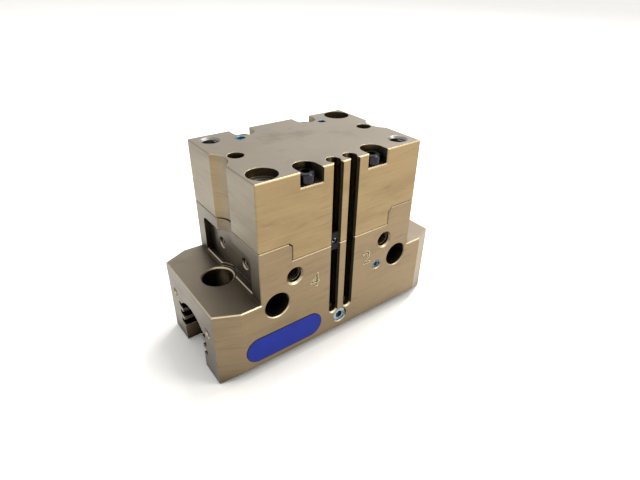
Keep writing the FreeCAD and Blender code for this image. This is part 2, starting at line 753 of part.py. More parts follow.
break_edges(cover, "sill_break", edge_break, on_sill)
shafts = new_sketch(cover, "screw_shafts", "XY_Plane", screw_seat)
for across, up in pairs(screw_offset, screw_place):
    draw_circle(shafts, across, up, screw_passage)
pocket(cover, shafts)
cover_pins = new_sketch(cover, "dowel_holes", "XY_Plane", ear_level)
for across, up in pin_places:
    draw_circle(cover_pins, across, up, dowel_diameter + fixed_play * 2)
pocket(cover, cover_pins, dowel_length / 2 + fixed_play, turned=True)
mount_x = mount_spacing_along / 2
mount_y = mount_spacing_across / 2
drill(cover, "mount_threads", "XY_Plane", top_level, [(-mount_x, mount_y), (mount_x, -mount_y)],
      mount_core, mount_depth, cut=("Countersink", mount_rim, None))
seat_places = [(-mount_x, -mount_y), (mount_x, mount_y)]
drill(cover, "mount_seats", "XY_Plane", top_level, seat_places, mount_core, mount_depth,
      cut=("Counterbore", seat_bore, seat_depth))
drill(cover, "locating", "XY_Plane", top_level, [(pin_spacing / -2, zero), (pin_spacing / 2, zero)],
      pin_bore, pin_depth)
drill(cover, "air_plugs", "XY_Plane", top_level, [(-plug_offset, plug_aside), (plug_offset, plug_aside)],
      plug_hole, plug_hole_depth)


# Base jaws with the slanted hook slot and the finger threads
def make_jaw(label, turn):
    jaw = new_body(label)
    profile = new_sketch(jaw, "profile", "YZ_Plane", jaw_start)
    draw_polygon(profile, guide_profile(guide_play, zero))
    pad(jaw, profile, jaw_end - jaw_start)
    below = -overcut
    above = jaw_top + overcut
    drive = new_sketch(jaw, "drive_face", "XZ_Plane", zero)
    draw_polygon(drive, slanted(drive_line - head_line, drive_line + hook_play, below, above))
    pocket(jaw, drive, body_depth, both_ways=True)
    flange_slot = new_sketch(jaw, "flange_slot", "XZ_Plane", zero)
    draw_polygon(flange_slot, slanted(neck_line - hook_play, head_line + hook_play, below, above))
    pocket(jaw, flange_slot, hook_width + hook_play * 2, both_ways=True)
    neck_slot = new_sketch(jaw, "neck_slot", "XZ_Plane", zero)
    draw_polygon(neck_slot, slanted(drive_line, neck_line, below, above))
    pocket(jaw, neck_slot, neck_width + hook_play * 2, both_ways=True)

    def on_foot(start, end):
        """Lower edge of the outer end."""
        outer = near(start.x, jaw_end.value) and near(end.x, jaw_end.value)
        return outer and near(start.z, 0) and near(end.z, 0)

    break_edges(jaw, "foot_break", edge_break, on_foot)
    finger_places = [(passage_offset - finger_spacing, zero), (passage_offset, zero)]
    drill(jaw, "finger_threads", "XY_Plane", zero, finger_places, finger_core, turned=True,
          cut=("Counterbore", sleeve_bore, sleeve_depth))
    jaw.Placement = FreeCAD.Placement(
        FreeCAD.Vector(0, 0, 0), FreeCAD.Rotation(FreeCAD.Vector(0, 0, 1), turn))
    return jaw


# Wedge hook: flanged 45 degree rails on both sides of the piston rod
def make_hook():
    hook = new_body("wedge_hook")
    wedge = new_sketch(hook, "wedge", "XZ_Plane", zero)
    draw_polygon(wedge, [
        (hook_bottom - head_line, hook_bottom),
        (head_line - hook_bottom, hook_bottom),
        (head_line - hook_top, hook_top),
        (hook_top - head_line, hook_top),
    ])
    pad(hook, wedge, hook_width, both_ways=True)
    for side, word in ((1, "front"), (-1, "back")):
        groove = new_sketch(hook, "groove_" + word, "XZ_Plane", hook_width / 2 * side)
        strip = slanted(drive_line, neck_line, hook_bottom, hook_top)
        draw_polygon(groove, strip)
        draw_polygon(groove, mirrored(strip))
        pocket(hook, groove, (hook_width - neck_width) / 2, turned=side < 0)
    rod = new_sketch(hook, "rod", "XY_Plane", hook_top)
    draw_circle(rod, zero, zero, rod_diameter)
    pad(hook, rod, piston_rest - hook_top)
    tapped = new_sketch(hook, "bolt_thread", "XY_Plane", piston_rest)
    draw_circle(tapped, zero, zero, bolt_thread + fixed_play * 2)
    pocket(hook, tapped, bolt_length)
    return hook


# Cap screw standing on its seat, and a grub screw sunk into a face
def make_cap_screw(label, thread, head, head_height, socket, length, place):
    screw = new_body(label)
    shank = new_sketch(screw, "shank", "XY_Plane", -length)
    draw_circle(shank, zero, zero, thread)
    pad(screw, shank, length)
    crown = new_sketch(screw, "head", "XY_Plane", zero)
    draw_circle(crown, zero, zero, head)
    pad(screw, crown, head_height)

    def on_crown(start, end):
        return near(start.z, head_height.value) and near(end.z, head_height.value)

    break_edges(screw, "crown_break", rim_break, on_crown)
    key = new_sketch(screw, "socket", "XY_Plane", head_height)
    draw_hexagon(key, socket)
    pocket(screw, key, head_height / 2)
    set_place(screw, place)
    return screw


def make_grub_screw(label, thread, length, socket, place, turn):
    screw = new_body(label)
    shank = new_sketch(screw, "shank", "XY_Plane", -length)
    draw_circle(shank, zero, zero, thread)
    pad(screw, shank, length)
    key = new_sketch(screw, "socket", "XY_Plane", zero)
    draw_hexagon(key, socket)
    pocket(screw, key, length / 2)
    screw.Placement.Rotation = FreeCAD.Rotation(FreeCAD.Vector(1, 0, 0), turn)
    set_place(screw, place)
    return screw


def set_place(item, place):
    for axis, distance in zip("xyz", place):
        item.setExpression("Placement.Base." + axis, as_size(distance).text)


def make_oval_ring(label, inner, outer, level, height):
    ring = new_body(label)
    outline = new_sketch(ring, "outline", "XY_Plane", level)
    draw_oval(outline, bore_half, outer)
    draw_oval(outline, bore_half, inner)
    pad(ring, outline, height)
    return ring


def make_disc(label, diameter, height, place):
    disc = doc.addObject("Part::Cylinder", label)
    disc.Label = label
    disc.setExpression("Radius", (diameter / 2).text)
    disc.setExpression("Height", height.text)
    set_place(disc, place)
    return disc


base_jaw_right = make_jaw("base_jaw_right", 0)
base_jaw_left = make_jaw("base_jaw_left", 180)
wedge_hook = make_hook()

# Oval piston with two ring grooves, bolt seat and magnet wells
piston = new_body("piston")
piston_radius = bore_radius - piston_play
piston_plan = new_sketch(piston, "plan", "XY_Plane", piston_rest)
draw_oval(piston_plan, bore_half, piston_radius)
pad(piston, piston_plan, piston_height)
ring_outer = bore_radius - running_play
ring_inner = ring_outer - seal_width
ring_low = piston_rest + seal_inset
ring_high = piston_top - seal_inset - seal_height
for word, level in (("lower", ring_low), ("upper", ring_high)):
    ring_groove = new_sketch(piston, "groove_" + word, "XY_Plane", level + seal_height + fixed_play)
    draw_oval(ring_groove, bore_half, ring_inner - fixed_play)
    draw_oval(ring_groove, bore_half, bore_radius + overcut)
    pocket(piston, ring_groove, seal_height + fixed_play * 2)
drill(piston, "bolt_hole", "XY_Plane", piston_top, [(zero, zero)], bolt_thread + fixed_play * 2,
      cut=("Counterbore", bolt_head + fixed_play * 2, bolt_head_height + fixed_play))
magnet_place = piston_radius - magnet_inset
magnet_wells = new_sketch(piston, "magnet_wells", "XY_Plane", piston_top)
for side in (-1, 1):
    draw_circle(magnet_wells, slot_offset * side, -magnet_place, magnet_diameter + fixed_play * 2)
pocket(piston, magnet_wells, magnet_height + fixed_play)

piston_seal_lower = make_oval_ring("piston_seal_lower", ring_inner, ring_outer, ring_low, seal_height)
piston_seal_upper = make_oval_ring("piston_seal_upper", ring_inner, ring_outer, ring_high, seal_height)
cover_seal = make_oval_ring("cover_seal", gasket_inner, gasket_outer, seam_level,
                            gasket_height - fixed_play)
bolt_seat = piston_top - bolt_head_height
piston_bolt = make_cap_screw("piston_bolt", bolt_thread, bolt_head, bolt_head_height, bolt_socket,
                             bolt_length, (zero, zero, bolt_seat))
magnet_level = piston_top - magnet_height
magnets = [
    make_disc("piston_magnet_left", magnet_diameter, magnet_height,
              (-slot_offset, -magnet_place, magnet_level)),
    make_disc("piston_magnet_right", magnet_diameter, magnet_height,
              (slot_offset, -magnet_place, magnet_level)),
]
rod_seal = new_body("rod_seal")
rod_ring = new_sketch(rod_seal, "ring", "XY_Plane", cylinder_floor - rod_seal_height)
draw_circle(rod_ring, zero, zero, rod_diameter + running_play * 2)
draw_circle(rod_ring, zero, zero, rod_diameter + running_play * 2 + (rod_seal_width - fixed_play) * 2)
pad(rod_seal, rod_ring, rod_seal_height)


# Closing springs between the piston and the roof of their wells
def make_spring(label, side):
    spring = new_body(label)
    coil_radius = spring_bore / 2 - spring_gap - spring_wire / 2
    wire = new_sketch(spring, "wire", "XZ_Plane", zero)
    draw_box(wire, coil_radius - spring_wire / 2, coil_radius + spring_wire / 2, zero, spring_wire)
    coil = spring.newObject("PartDesign::AdditiveHelix", label + "_coil")
    coil.Profile = wire
    coil.ReferenceAxis = (wire, ["V_Axis"])
    coil.Mode = "height-turns-angle"
    rise = spring_top - piston_top - spring_wire - fixed_play * 2
    coil.setExpression("Height", rise.text)
    coil.setExpression("Turns", spring_turns.text)
    set_place(spring, (spring_offset * side, zero, piston_top + fixed_play))
    return spring


springs = [make_spring("closing_spring_left", -1), make_spring("closing_spring_right", 1)]

# Cover screws, dowels, plugs and the stop in the left switch slot
cover_screws = []
for side, word in ((-1, "left"), (1, "right")):
    for face, facing in ((-1, "front"), (1, "back")):
        cover_screws.append(make_cap_screw(
            "cover_screw_%s_%s" % (facing, word), screw_thread, screw_head, screw_head_height,
            screw_socket, screw_length, (screw_offset * side, screw_place * face, screw_seat)))
dowel_level = ear_level - dowel_length / 2
dowels = [
    make_disc("cover_dowel_left", dowel_diameter, dowel_length,
              (-dowel_offset, dowel_aside, dowel_level)),
    make_disc("cover_dowel_right", dowel_diameter, dowel_length,
              (dowel_offset, -dowel_aside, dowel_level)),
]
plug_face = top_level - plug_sink
air_plugs = [
    make_grub_screw("air_plug_left", plug_thread, plug_length, plug_socket,
                    (-plug_offset, plug_aside, plug_face), 0),
    make_grub_screw("air_plug_right", plug_thread, plug_length, plug_socket,
                    (plug_offset, plug_aside, plug_face), 0),
]
front_sink = plug_sink - half_depth
duct_plug = make_grub_screw("duct_plug", plug_thread, plug_length, plug_socket,
                            (duct_offset, front_sink, duct_level), 90)
grease_screw = make_grub_screw("grease_screw", grease_thread, grease_length, grease_socket,
                               (zero, front_sink, grease_level), 90)

slot_stop = new_body("slot_stop")
stop_round = new_sketch(slot_stop, "round", "XY_Plane", stop_level)
draw_circle(stop_round, -slot_offset, -slot_place, slot_bore - running_play * 2)
pad(slot_stop, stop_round, stop_height)
stop_rib = new_sketch(slot_stop, "rib", "XY_Plane", stop_level)
rib_half = slot_mouth / 2 - running_play
draw_box(stop_rib, -slot_offset - rib_half, rib_half - slot_offset,
         front_sink, -slot_place)
pad(slot_stop, stop_rib, stop_height)
stop_middle = stop_level + stop_height / 2
stop_hole = new_sketch(slot_stop, "screw_hole", "XZ_Plane", half_depth)
draw_circle(stop_hole, -slot_offset, stop_middle, stop_screw + fixed_play * 2)
pocket(slot_stop, stop_hole)
stop_grub = make_grub_screw("slot_stop_screw", stop_screw, stop_screw_length, stop_screw / 2,
                            (-slot_offset, front_sink + plug_sink, stop_middle), 90)

pieces = [housing, cover, base_jaw_left, base_jaw_right, wedge_hook, piston, piston_bolt]
pieces += [piston_seal_lower, piston_seal_upper, cover_seal, rod_seal]
pieces += magnets + springs + cover_screws + dowels + air_plugs
pieces += [duct_plug, grease_screw, slot_stop, stop_grub]

doc.recompute()
for item in doc.Objects:
    if "Invalid" in item.State or "Error" in item.State:
        raise RuntimeError("failed feature: " + item.Label)
for piece in pieces:
    shape = piece.Shape
    if shape.isNull() or not shape.isValid() or len(shape.Solids) != 1:
        raise RuntimeError("bad solid: " + piece.Label)

os.makedirs("parts", exist_ok=True)
for piece in pieces:
    piece.Shape.exportStep("parts/" + piece.Label + ".step")
    print("%-24s %10.2f mm3" % (piece.Label, piece.Shape.Volume))
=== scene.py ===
# %% [markdown]
# # Dressing a pneumatic parallel gripper
#
# The gripper is already built as exact solids: housing, spring cover, jaws, piston, springs,
# screws and plugs. This lesson gives every solid its finish, adds what is too thin or too fine
# for the solids, and sets a plain studio round them. Nothing here moves or resizes a solid.
#
# The first step loads the solids as a fixed frame. Its box is kept, to compare with the box of
# the dressed model at the end.

# %% Load the frame
import json
import math
import random

import bmesh
import bpy
from mathutils import Matrix, Vector


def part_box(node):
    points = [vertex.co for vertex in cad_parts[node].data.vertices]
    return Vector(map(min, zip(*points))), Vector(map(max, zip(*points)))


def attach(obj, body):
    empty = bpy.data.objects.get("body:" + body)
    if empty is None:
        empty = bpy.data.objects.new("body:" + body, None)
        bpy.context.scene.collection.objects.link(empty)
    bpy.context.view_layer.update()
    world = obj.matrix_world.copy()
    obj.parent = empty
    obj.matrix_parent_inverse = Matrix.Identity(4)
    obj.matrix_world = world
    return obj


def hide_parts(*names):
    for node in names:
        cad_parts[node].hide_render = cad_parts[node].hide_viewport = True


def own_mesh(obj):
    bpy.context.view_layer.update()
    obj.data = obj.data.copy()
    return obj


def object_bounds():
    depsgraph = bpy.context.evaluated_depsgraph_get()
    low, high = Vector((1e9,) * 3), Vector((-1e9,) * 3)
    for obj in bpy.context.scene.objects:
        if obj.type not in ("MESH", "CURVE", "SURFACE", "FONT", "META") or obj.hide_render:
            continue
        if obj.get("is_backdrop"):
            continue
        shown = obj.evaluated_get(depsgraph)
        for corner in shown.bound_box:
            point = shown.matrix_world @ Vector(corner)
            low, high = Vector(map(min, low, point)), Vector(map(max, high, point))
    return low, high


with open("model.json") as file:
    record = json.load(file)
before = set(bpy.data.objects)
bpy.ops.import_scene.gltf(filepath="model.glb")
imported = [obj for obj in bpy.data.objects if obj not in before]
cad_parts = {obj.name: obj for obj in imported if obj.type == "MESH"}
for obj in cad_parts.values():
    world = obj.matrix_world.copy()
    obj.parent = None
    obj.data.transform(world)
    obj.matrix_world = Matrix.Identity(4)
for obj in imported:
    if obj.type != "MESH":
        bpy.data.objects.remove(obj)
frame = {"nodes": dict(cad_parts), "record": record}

cad_low, cad_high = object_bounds()
MM = 0.001
print("nodes loaded:", len(frame["nodes"]))
print("box in mm:", [round(edge / MM, 2) for edge in cad_high - cad_low])

# %% [markdown]
# ## Two small helpers for materials
#
# Colours are picked as screen colours, written as hex codes, but the renderer works with linear
# light, so one function turns the first into the second. A second function adds one node with
# its settings and its links. Together they keep every material short enough to read at once.
#
# Inputs without a name of their own go by number. A Map Range node reads input 0, takes inputs 1
# and 2 as the range it comes from and gives the range of inputs 3 and 4, or 0 to 1. A colour Mix
# node has the share at input 0, both colours at inputs 6 and 7 and its result at output 2.

# %% Colour and node helpers
def colour(code):
    """Screen colour such as "#AF9872" as linear red, green, blue and alpha."""
    parts = [int(code[start:start + 2], 16) / 255 for start in (1, 3, 5)]
    return [part / 12.92 if part < 0.04045 else ((part + 0.055) / 1.055) ** 2.4 for part in parts] + [1.0]


def add(tree, kind, links=None, **settings):
    """Add one shader node; links maps an input's name or number to a value or an output."""
    node = tree.nodes.new("ShaderNode" + kind)
    for name, value in settings.items():
        setattr(node, name, value)
    for name, value in (links or {}).items():
        if isinstance(value, bpy.types.NodeSocket):
            tree.links.new(value, node.inputs[name])
        else:
            node.inputs[name].default_value = value
    return node


def new_material(name, **sockets):
    """A material with its principled shader, whose sockets are set to constants."""
    material = bpy.data.materials.new(name)
    material.use_nodes = True
    shader = material.node_tree.nodes["Principled BSDF"]
    for socket, value in sockets.items():
        shader.inputs[socket.replace("_", " ").title()].default_value = value
    return material, material.node_tree, shader


print("champagne in linear light:", [round(part, 3) for part in colour("#AF9872")])

# %% [markdown]
# ## Hard-anodised aluminium
#
# Housing and cover are milled from aluminium bar and hard-anodised, and went through the bath as separate
# pieces. The oxide is painted in three shades by the direction of the face: a warm champagne on the long
# faces, a greyer one on the ends, and a matt taupe on the top, which a face mill swept. These shades also
# paint the light and shade that falls on each side. The housing is painted darker than the cover as painted
# shade of the lower part.
#
# A photograph of the metal could be wrapped round the part, but it would stretch and carry
# light that isn't ours. A procedural material reads the place of each point instead, so its
# lines keep their real spacing in millimetres on every face. The finish is built up in a few
# functions, and the first one collects what the others ask about a point.

# %% What a point knows
PER_MM = 1 / MM
# how far the painted shade in hollows looks for open space
CAVITY_REACH_MM = 10.0
mounts = {mount["name"]: mount for mount in frame["record"]["mounts"]}


def read_surface(tree):
    """Place in millimetres, direction and openness of the point that is shaded."""
    place = add(tree, "TexCoord")
    point = add(tree, "VectorMath", {0: place.outputs["Object"], "Scale": PER_MM}, operation="SCALE")
    where = add(tree, "SeparateXYZ", {0: point.outputs["Vector"]})
    facing = add(tree, "SeparateXYZ", {0: place.outputs["Normal"]})
    endness = add(tree, "Math", {0: facing.outputs["X"]}, operation="ABSOLUTE")
    frontness = add(tree, "Math", {0: facing.outputs["Y"]}, operation="ABSOLUTE")
    levelness = add(tree, "Math", {0: facing.outputs["Z"]}, operation="ABSOLUTE")
    doubled = add(tree, "VectorMath", {0: place.outputs["Normal"], 1: (2, 2, 0)}, operation="MULTIPLY")
    sideways = add(tree, "VectorMath", {0: doubled.outputs["Vector"]}, operation="LENGTH")
    tilt = add(tree, "Math", {0: sideways.outputs["Value"], 1: facing.outputs["Z"]}, operation="MULTIPLY")
    openness = add(tree, "AmbientOcclusion", {"Distance": CAVITY_REACH_MM * MM}, samples=8)
    return {
        "point": point.outputs["Vector"],
        "across": where.outputs["X"],
        "height": where.outputs["Z"],
        "endness": endness.outputs[0],
        "frontness": frontness.outputs[0],
        "levelness": levelness.outputs[0],
        "tilt": tilt.outputs[0],    # 1 on a bevel that faces up, -1 on one that faces down
        "openness": openness.outputs["AO"],
    }


print("mounts in the record:", len(mounts))

# %% [markdown]
# The cutter leaves fine level lines on the upright faces. Handling leaves dull smudges, short rub
# marks along the lines, hairline scratches and a few small pits and chips. Each of them is a noise
# or a cell pattern, turned into a tone near 1 that the shade will be multiplied by.

# %% Marks of milling and handling
LINE_MM = (30.0, 30.0, 0.35)    # real milling lines are finer; this is the finest that shows here
LINE_TONES = (0.95, 1.045)
SMUDGE_MM = (30.0, 30.0, 9.0)
SMUDGE_TONE = 0.86
RUB_MM = (11.0, 11.0, 1.3)
RUB_TONE = 0.78
PIT_CELL_MM = 7.0
PIT_RADIUS_MM = 0.14
PIT_TONE = 0.3
CHIP_TONE = 1.8
SCRATCH_BEND_MM = 16.0
SCRATCH_WIDTH = 0.0016    # share of the noise's range that one hairline takes
SCRATCH_GAP_MM = 9.0
SCRATCH_TONE = 1.25


def handling_marks(tree, point):
    """Height of the milling lines, strength of the smudges, and the tones of all marks."""
    line_place = add(tree, "Mapping", {"Vector": point, "Scale": [1 / step for step in LINE_MM]})
    lines = add(tree, "TexNoise", {"Vector": line_place.outputs[0], "Scale": 1.0, "Detail": 2.0})
    line_tone = add(tree, "MapRange", {0: lines.outputs[0], 1: 0.3, 2: 0.7, 3: LINE_TONES[0],
                                       4: LINE_TONES[1]})

    smudge_place = add(tree, "Mapping", {"Vector": point, "Scale": [1 / step for step in SMUDGE_MM]})
    smudges = add(tree, "TexNoise", {"Vector": smudge_place.outputs[0], "Scale": 1.0, "Detail": 6.0,
                                     "Roughness": 0.6})
    smudge_tone = add(tree, "MapRange", {0: smudges.outputs[0], 1: 0.5, 2: 0.75, 3: 1.0, 4: SMUDGE_TONE})

    rub_place = add(tree, "Mapping", {"Vector": point, "Scale": [1 / step for step in RUB_MM]})
    rubs = add(tree, "TexNoise", {"Vector": rub_place.outputs[0], "Scale": 1.0, "Detail": 5.0,
                                  "Roughness": 0.65})
    rub_tone = add(tree, "MapRange", {0: rubs.outputs[0], 1: 0.56, 2: 0.72, 3: 1.0, 4: RUB_TONE})

    pits = add(tree, "TexVoronoi", {"Vector": point, "Scale": 1 / PIT_CELL_MM})
    pit_edge = PIT_RADIUS_MM / PIT_CELL_MM
    chance = add(tree, "SeparateXYZ", {0: pits.outputs["Color"]})
    chip_or_pit = add(tree, "MapRange", {0: chance.outputs["X"], 3: PIT_TONE, 4: CHIP_TONE})
    pit_tone = add(tree, "MapRange", {0: pits.outputs["Distance"], 1: pit_edge * 0.6, 2: pit_edge,
                                      3: chip_or_pit.outputs[0], 4: 1.0})

    bends = add(tree, "TexNoise", {"Vector": point, "Scale": 1 / SCRATCH_BEND_MM, "Detail": 0.0})
    off_line = add(tree, "Math", {0: bends.outputs[0], 1: 0.5}, operation="SUBTRACT")
    distance = add(tree, "Math", {0: off_line.outputs[0]}, operation="ABSOLUTE")
    hairline = add(tree, "MapRange", {0: distance.outputs[0], 1: 0.0, 2: SCRATCH_WIDTH, 3: 1.0, 4: 0.0})
    stretches = add(tree, "TexNoise", {"Vector": point, "Scale": 1 / SCRATCH_GAP_MM, "Detail": 1.0})
    shown = add(tree, "MapRange", {0: stretches.outputs[0], 1: 0.55, 2: 0.65})
    scratches = add(tree, "Math", {0: hairline.outputs[0], 1: shown.outputs[0]}, operation="MULTIPLY")
    scratch_tone = add(tree, "MapRange", {0: scratches.outputs[0], 3: 1.0, 4: SCRATCH_TONE})

    tones = [line_tone, smudge_tone, rub_tone, pit_tone, scratch_tone]
    return lines.outputs[0], smudges.outputs[0], [tone.outputs[0] for tone in tones]


print("milling lines in mm:", LINE_MM[2], "pits up to mm:", PIT_RADIUS_MM * 2)

# %% [markdown]
# Bores, slots and the seam are painted dark as shade. One node counts how much open space a point sees, and
# the less it sees, the darker the painted shade. The seam's painted shade goes on the bevels that face down,
# and the painted shade of the switch slots' mouths goes on the upright bevels near the middle.

# %% Painted shade in bores, slots and seam
SLOT_ZONE_MM = (10.0, 12.0)    # both switch slots lie nearer to the middle than this
SLOT_TONE = 0.6    # the painted shade in the slots goes no darker than this, as their back walls catch light
# painted shade in the mouths of the switch slots
MOUTH_TONE = 0.08
# painted shade on every bevel that faces down, the seam's among them
SEAM_TONE = 0.12


def painted_hollow_shade(tree, surface, cavity_tone):
    """Tone of the painted shade in hollows, and the tones of all painted shade: hollows, seam and slot
    mouths.
    """
    hollow_shade = add(tree, "MapRange", {0: surface["openness"], 1: 0.3, 2: 0.85, 3: cavity_tone, 4: 1.0})
    seam_tone = add(tree, "MapRange", {0: surface["tilt"], 1: -0.5, 2: -0.9, 3: 1.0, 4: SEAM_TONE})

    off_middle = add(tree, "Math", {0: surface["across"]}, operation="ABSOLUTE")
    at_slots = add(tree, "MapRange", {0: off_middle.outputs[0], 1: SLOT_ZONE_MM[0], 2: SLOT_ZONE_MM[1],
                                      3: 1.0, 4: 0.0})
    slanted = add(tree, "Math", {0: surface["endness"], 1: surface["frontness"]}, operation="MULTIPLY")
    slot_mouth = add(tree, "Math", {0: slanted.outputs[0], 1: at_slots.outputs[0]}, operation="MULTIPLY")
    mouth_tone = add(tree, "MapRange", {0: slot_mouth.outputs[0], 1: 0.2, 2: 0.45, 3: 1.0, 4: MOUTH_TONE})
    least = add(tree, "MapRange", {0: at_slots.outputs[0], 3: 0.0, 4: SLOT_TONE})
    shade_tone = add(tree, "Math", {0: hollow_shade.outputs[0], 1: least.outputs[0]}, operation="MAXIMUM")

    tones = [shade_tone, seam_tone, mouth_tone]
    return hollow_shade.outputs[0], [tone.outputs[0] for tone in tones]


print("slots nearer to the middle than mm:", SLOT_ZONE_MM[0])

# %% [markdown]
# Every edge was broken by hand and is painted brighter, partly as wear and partly as a painted highlight. A
# node that averages the surface's direction over a small radius tells where a sharp rim is, because there
# the average differs from the face's own direction. Real bevels are found by their slope. The painted
# highlight is strongest on edges that face up and to the front, on the shoulders and towards the left end,
# and the seam gets hardly any.

# %% Worn edges with painted highlights
WEAR_AND_SHINE_RADIUS_MM = 0.6    # wider than real wear, so that a rim is a pixel or two wide here
OPEN_EDGE_SHARE = 0.5    # long open edges are rounded, so they shine less than the rims of holes
# edges that face back get this share of the painted highlight
BACK_SHARE = 0.1
LOWER_EDGES_MM = (30.0, 36.0)    # heights from the shoulders to below the seam
UPPER_SHARE = 0.2
EARS_MM = (46.0, 48.0)    # the seam and the ears end here, and the cover's open edges begin
RIGHT_FADE_MM = (5.0, 30.0)    # from here to there the edges towards the right end are painted less bright
RIGHT_SHARE = 0.4
END_HOLES_MM = (20.0, 25.0)    # the small holes in the end faces lie lower and keep dark rims
END_HOLE_SHARE = 0.05
END_WALL_SHARE = 0.45


def edge_shine_and_wear(tree, surface, hollow_shade, wear_and_shine_share):
    """How far a point is painted bright, as wear and highlight, from 0 to 1, on sharp rims and on bevels."""
    lower_share = add(tree, "MapRange", {0: surface["height"], 1: LOWER_EDGES_MM[0], 2: LOWER_EDGES_MM[1],
                                      3: 1.0, 4: UPPER_SHARE})
    left_part_share = add(tree, "MapRange", {0: surface["across"], 1: RIGHT_FADE_MM[0], 2: RIGHT_FADE_MM[1],
                                     3: 1.0, 4: RIGHT_SHARE})
    above_seam = add(tree, "MapRange", {0: surface["height"], 1: EARS_MM[0], 2: EARS_MM[1]})
    off_seam = add(tree, "Math", {0: lower_share.outputs[0], 1: above_seam.outputs[0]}, operation="MAXIMUM")

    rounded = add(tree, "Bevel", {"Radius": WEAR_AND_SHINE_RADIUS_MM * MM}, samples=6)
    face = add(tree, "NewGeometry")
    agreement = add(tree, "VectorMath", {0: rounded.outputs[0], 1: face.outputs["Normal"]},
                    operation="DOT_PRODUCT")
    rim = add(tree, "MapRange", {0: agreement.outputs["Value"], 1: 0.98, 2: 0.85})
    outer_edge = add(tree, "MapRange", {0: surface["openness"], 1: 0.3, 2: 0.55})
    hole_rim = add(tree, "MapRange", {0: surface["openness"], 1: 0.75, 2: 0.95, 3: 1.0, 4: OPEN_EDGE_SHARE})
    turned = add(tree, "SeparateXYZ", {0: rounded.outputs[0]})
    front_facing_share = add(tree, "MapRange", {0: turned.outputs["Y"], 1: 0.0, 2: -0.4, 3: BACK_SHARE, 4: 1.0})
    upward = add(tree, "MapRange", {0: turned.outputs["Z"], 1: 0.1, 2: 0.4})
    for share in (outer_edge, hole_rim, front_facing_share, upward, left_part_share, off_seam):
        rim = add(tree, "Math", {0: rim.outputs[0], 1: share.outputs[0]}, operation="MULTIPLY")

    on_ends = add(tree, "MapRange", {0: surface["height"], 1: END_HOLES_MM[0], 2: END_HOLES_MM[1],
                                     3: wear_and_shine_share * END_HOLE_SHARE, 4: wear_and_shine_share * END_WALL_SHARE})
    bevel_shine_by_side = add(tree, "MapRange", {0: surface["frontness"], 1: 0.0, 2: 0.7, 3: on_ends.outputs[0],
                                    4: wear_and_shine_share})
    bevel = add(tree, "MapRange", {0: surface["tilt"], 1: 0.5, 2: 0.9, 3: 0.0, 4: bevel_shine_by_side.outputs[0]})
    for share in (hollow_shade, lower_share.outputs[0], left_part_share.outputs[0]):
        bevel = add(tree, "Math", {0: bevel.outputs[0], 1: share}, operation="MULTIPLY")
    bright = add(tree, "Math", {0: rim.outputs[0], 1: bevel.outputs[0]}, operation="MAXIMUM")
    return bright.outputs[0]


print("wear reaches in mm:", WEAR_AND_SHINE_RADIUS_MM)

# %% [markdown]
# The mounting threads were cut after the bath, so bare grey aluminium shows round them. The four
# holes lie evenly about the middle, so the absolute value folds them onto one hole, and the
# distance from its axis tells what is bare.

# %% Bare metal at the mounting threads
BARE_RIM_MM = 0.75
BARE_BLUR_MM = 0.1


def bare_at_threads(tree, point):
    """1 within a mounting thread and its bevel, 0 outside."""
    threads = mounts["mounting_threads"]["dims"]
    axis = (threads["spacing_x_mm"] / 2, threads["spacing_y_mm"] / 2, 0)
    folded = add(tree, "VectorMath", {0: point}, operation="ABSOLUTE")
    from_axis = add(tree, "VectorMath", {0: folded.outputs["Vector"], 1: axis}, operation="SUBTRACT")
    level_gap = add(tree, "VectorMath", {0: from_axis.outputs["Vector"], 1: (1, 1, 0)}, operation="MULTIPLY")
    gap = add(tree, "VectorMath", {0: level_gap.outputs["Vector"]}, operation="LENGTH")
    limit = threads["hole_r_mm"] + BARE_RIM_MM
    bare = add(tree, "MapRange", {0: gap.outputs["Value"], 1: limit - BARE_BLUR_MM, 2: limit,
                                  3: 1.0, 4: 0.0})
    return bare.outputs[0]


print("mounting threads in mm:", mounts["mounting_threads"]["dims"])

# %% [markdown]
# The whole finish mixes the three shades by the direction of the face, which paints light and shade per
# side. It multiplies them by every tone, the painted shade in hollows included, and lays worn edges with
# painted highlights and bare cuts over them. A fine bevel in the normal catches light on edges that the
# solids leave sharp.

# %% The whole finish
# The shades by face direction also paint the light and shade of each side; the housing's are darker as
# painted shade of its lower part.
COVER_SHADES_WITH_SIDE_LIGHT = ("#907C5C", "#867D6E", "#8F8679")      # long faces, end faces, top
HOUSING_SHADES_WITH_SIDE_SHADE = ("#84735A", "#787167", "#857B6D")
# cream of worn edges, also painted as their highlight
EDGE_WEAR_HIGHLIGHT_COLOUR = colour("#EFE0BE")
BARE_CUT = colour("#8A8887")
EDGE_RADIUS_MM = 0.25


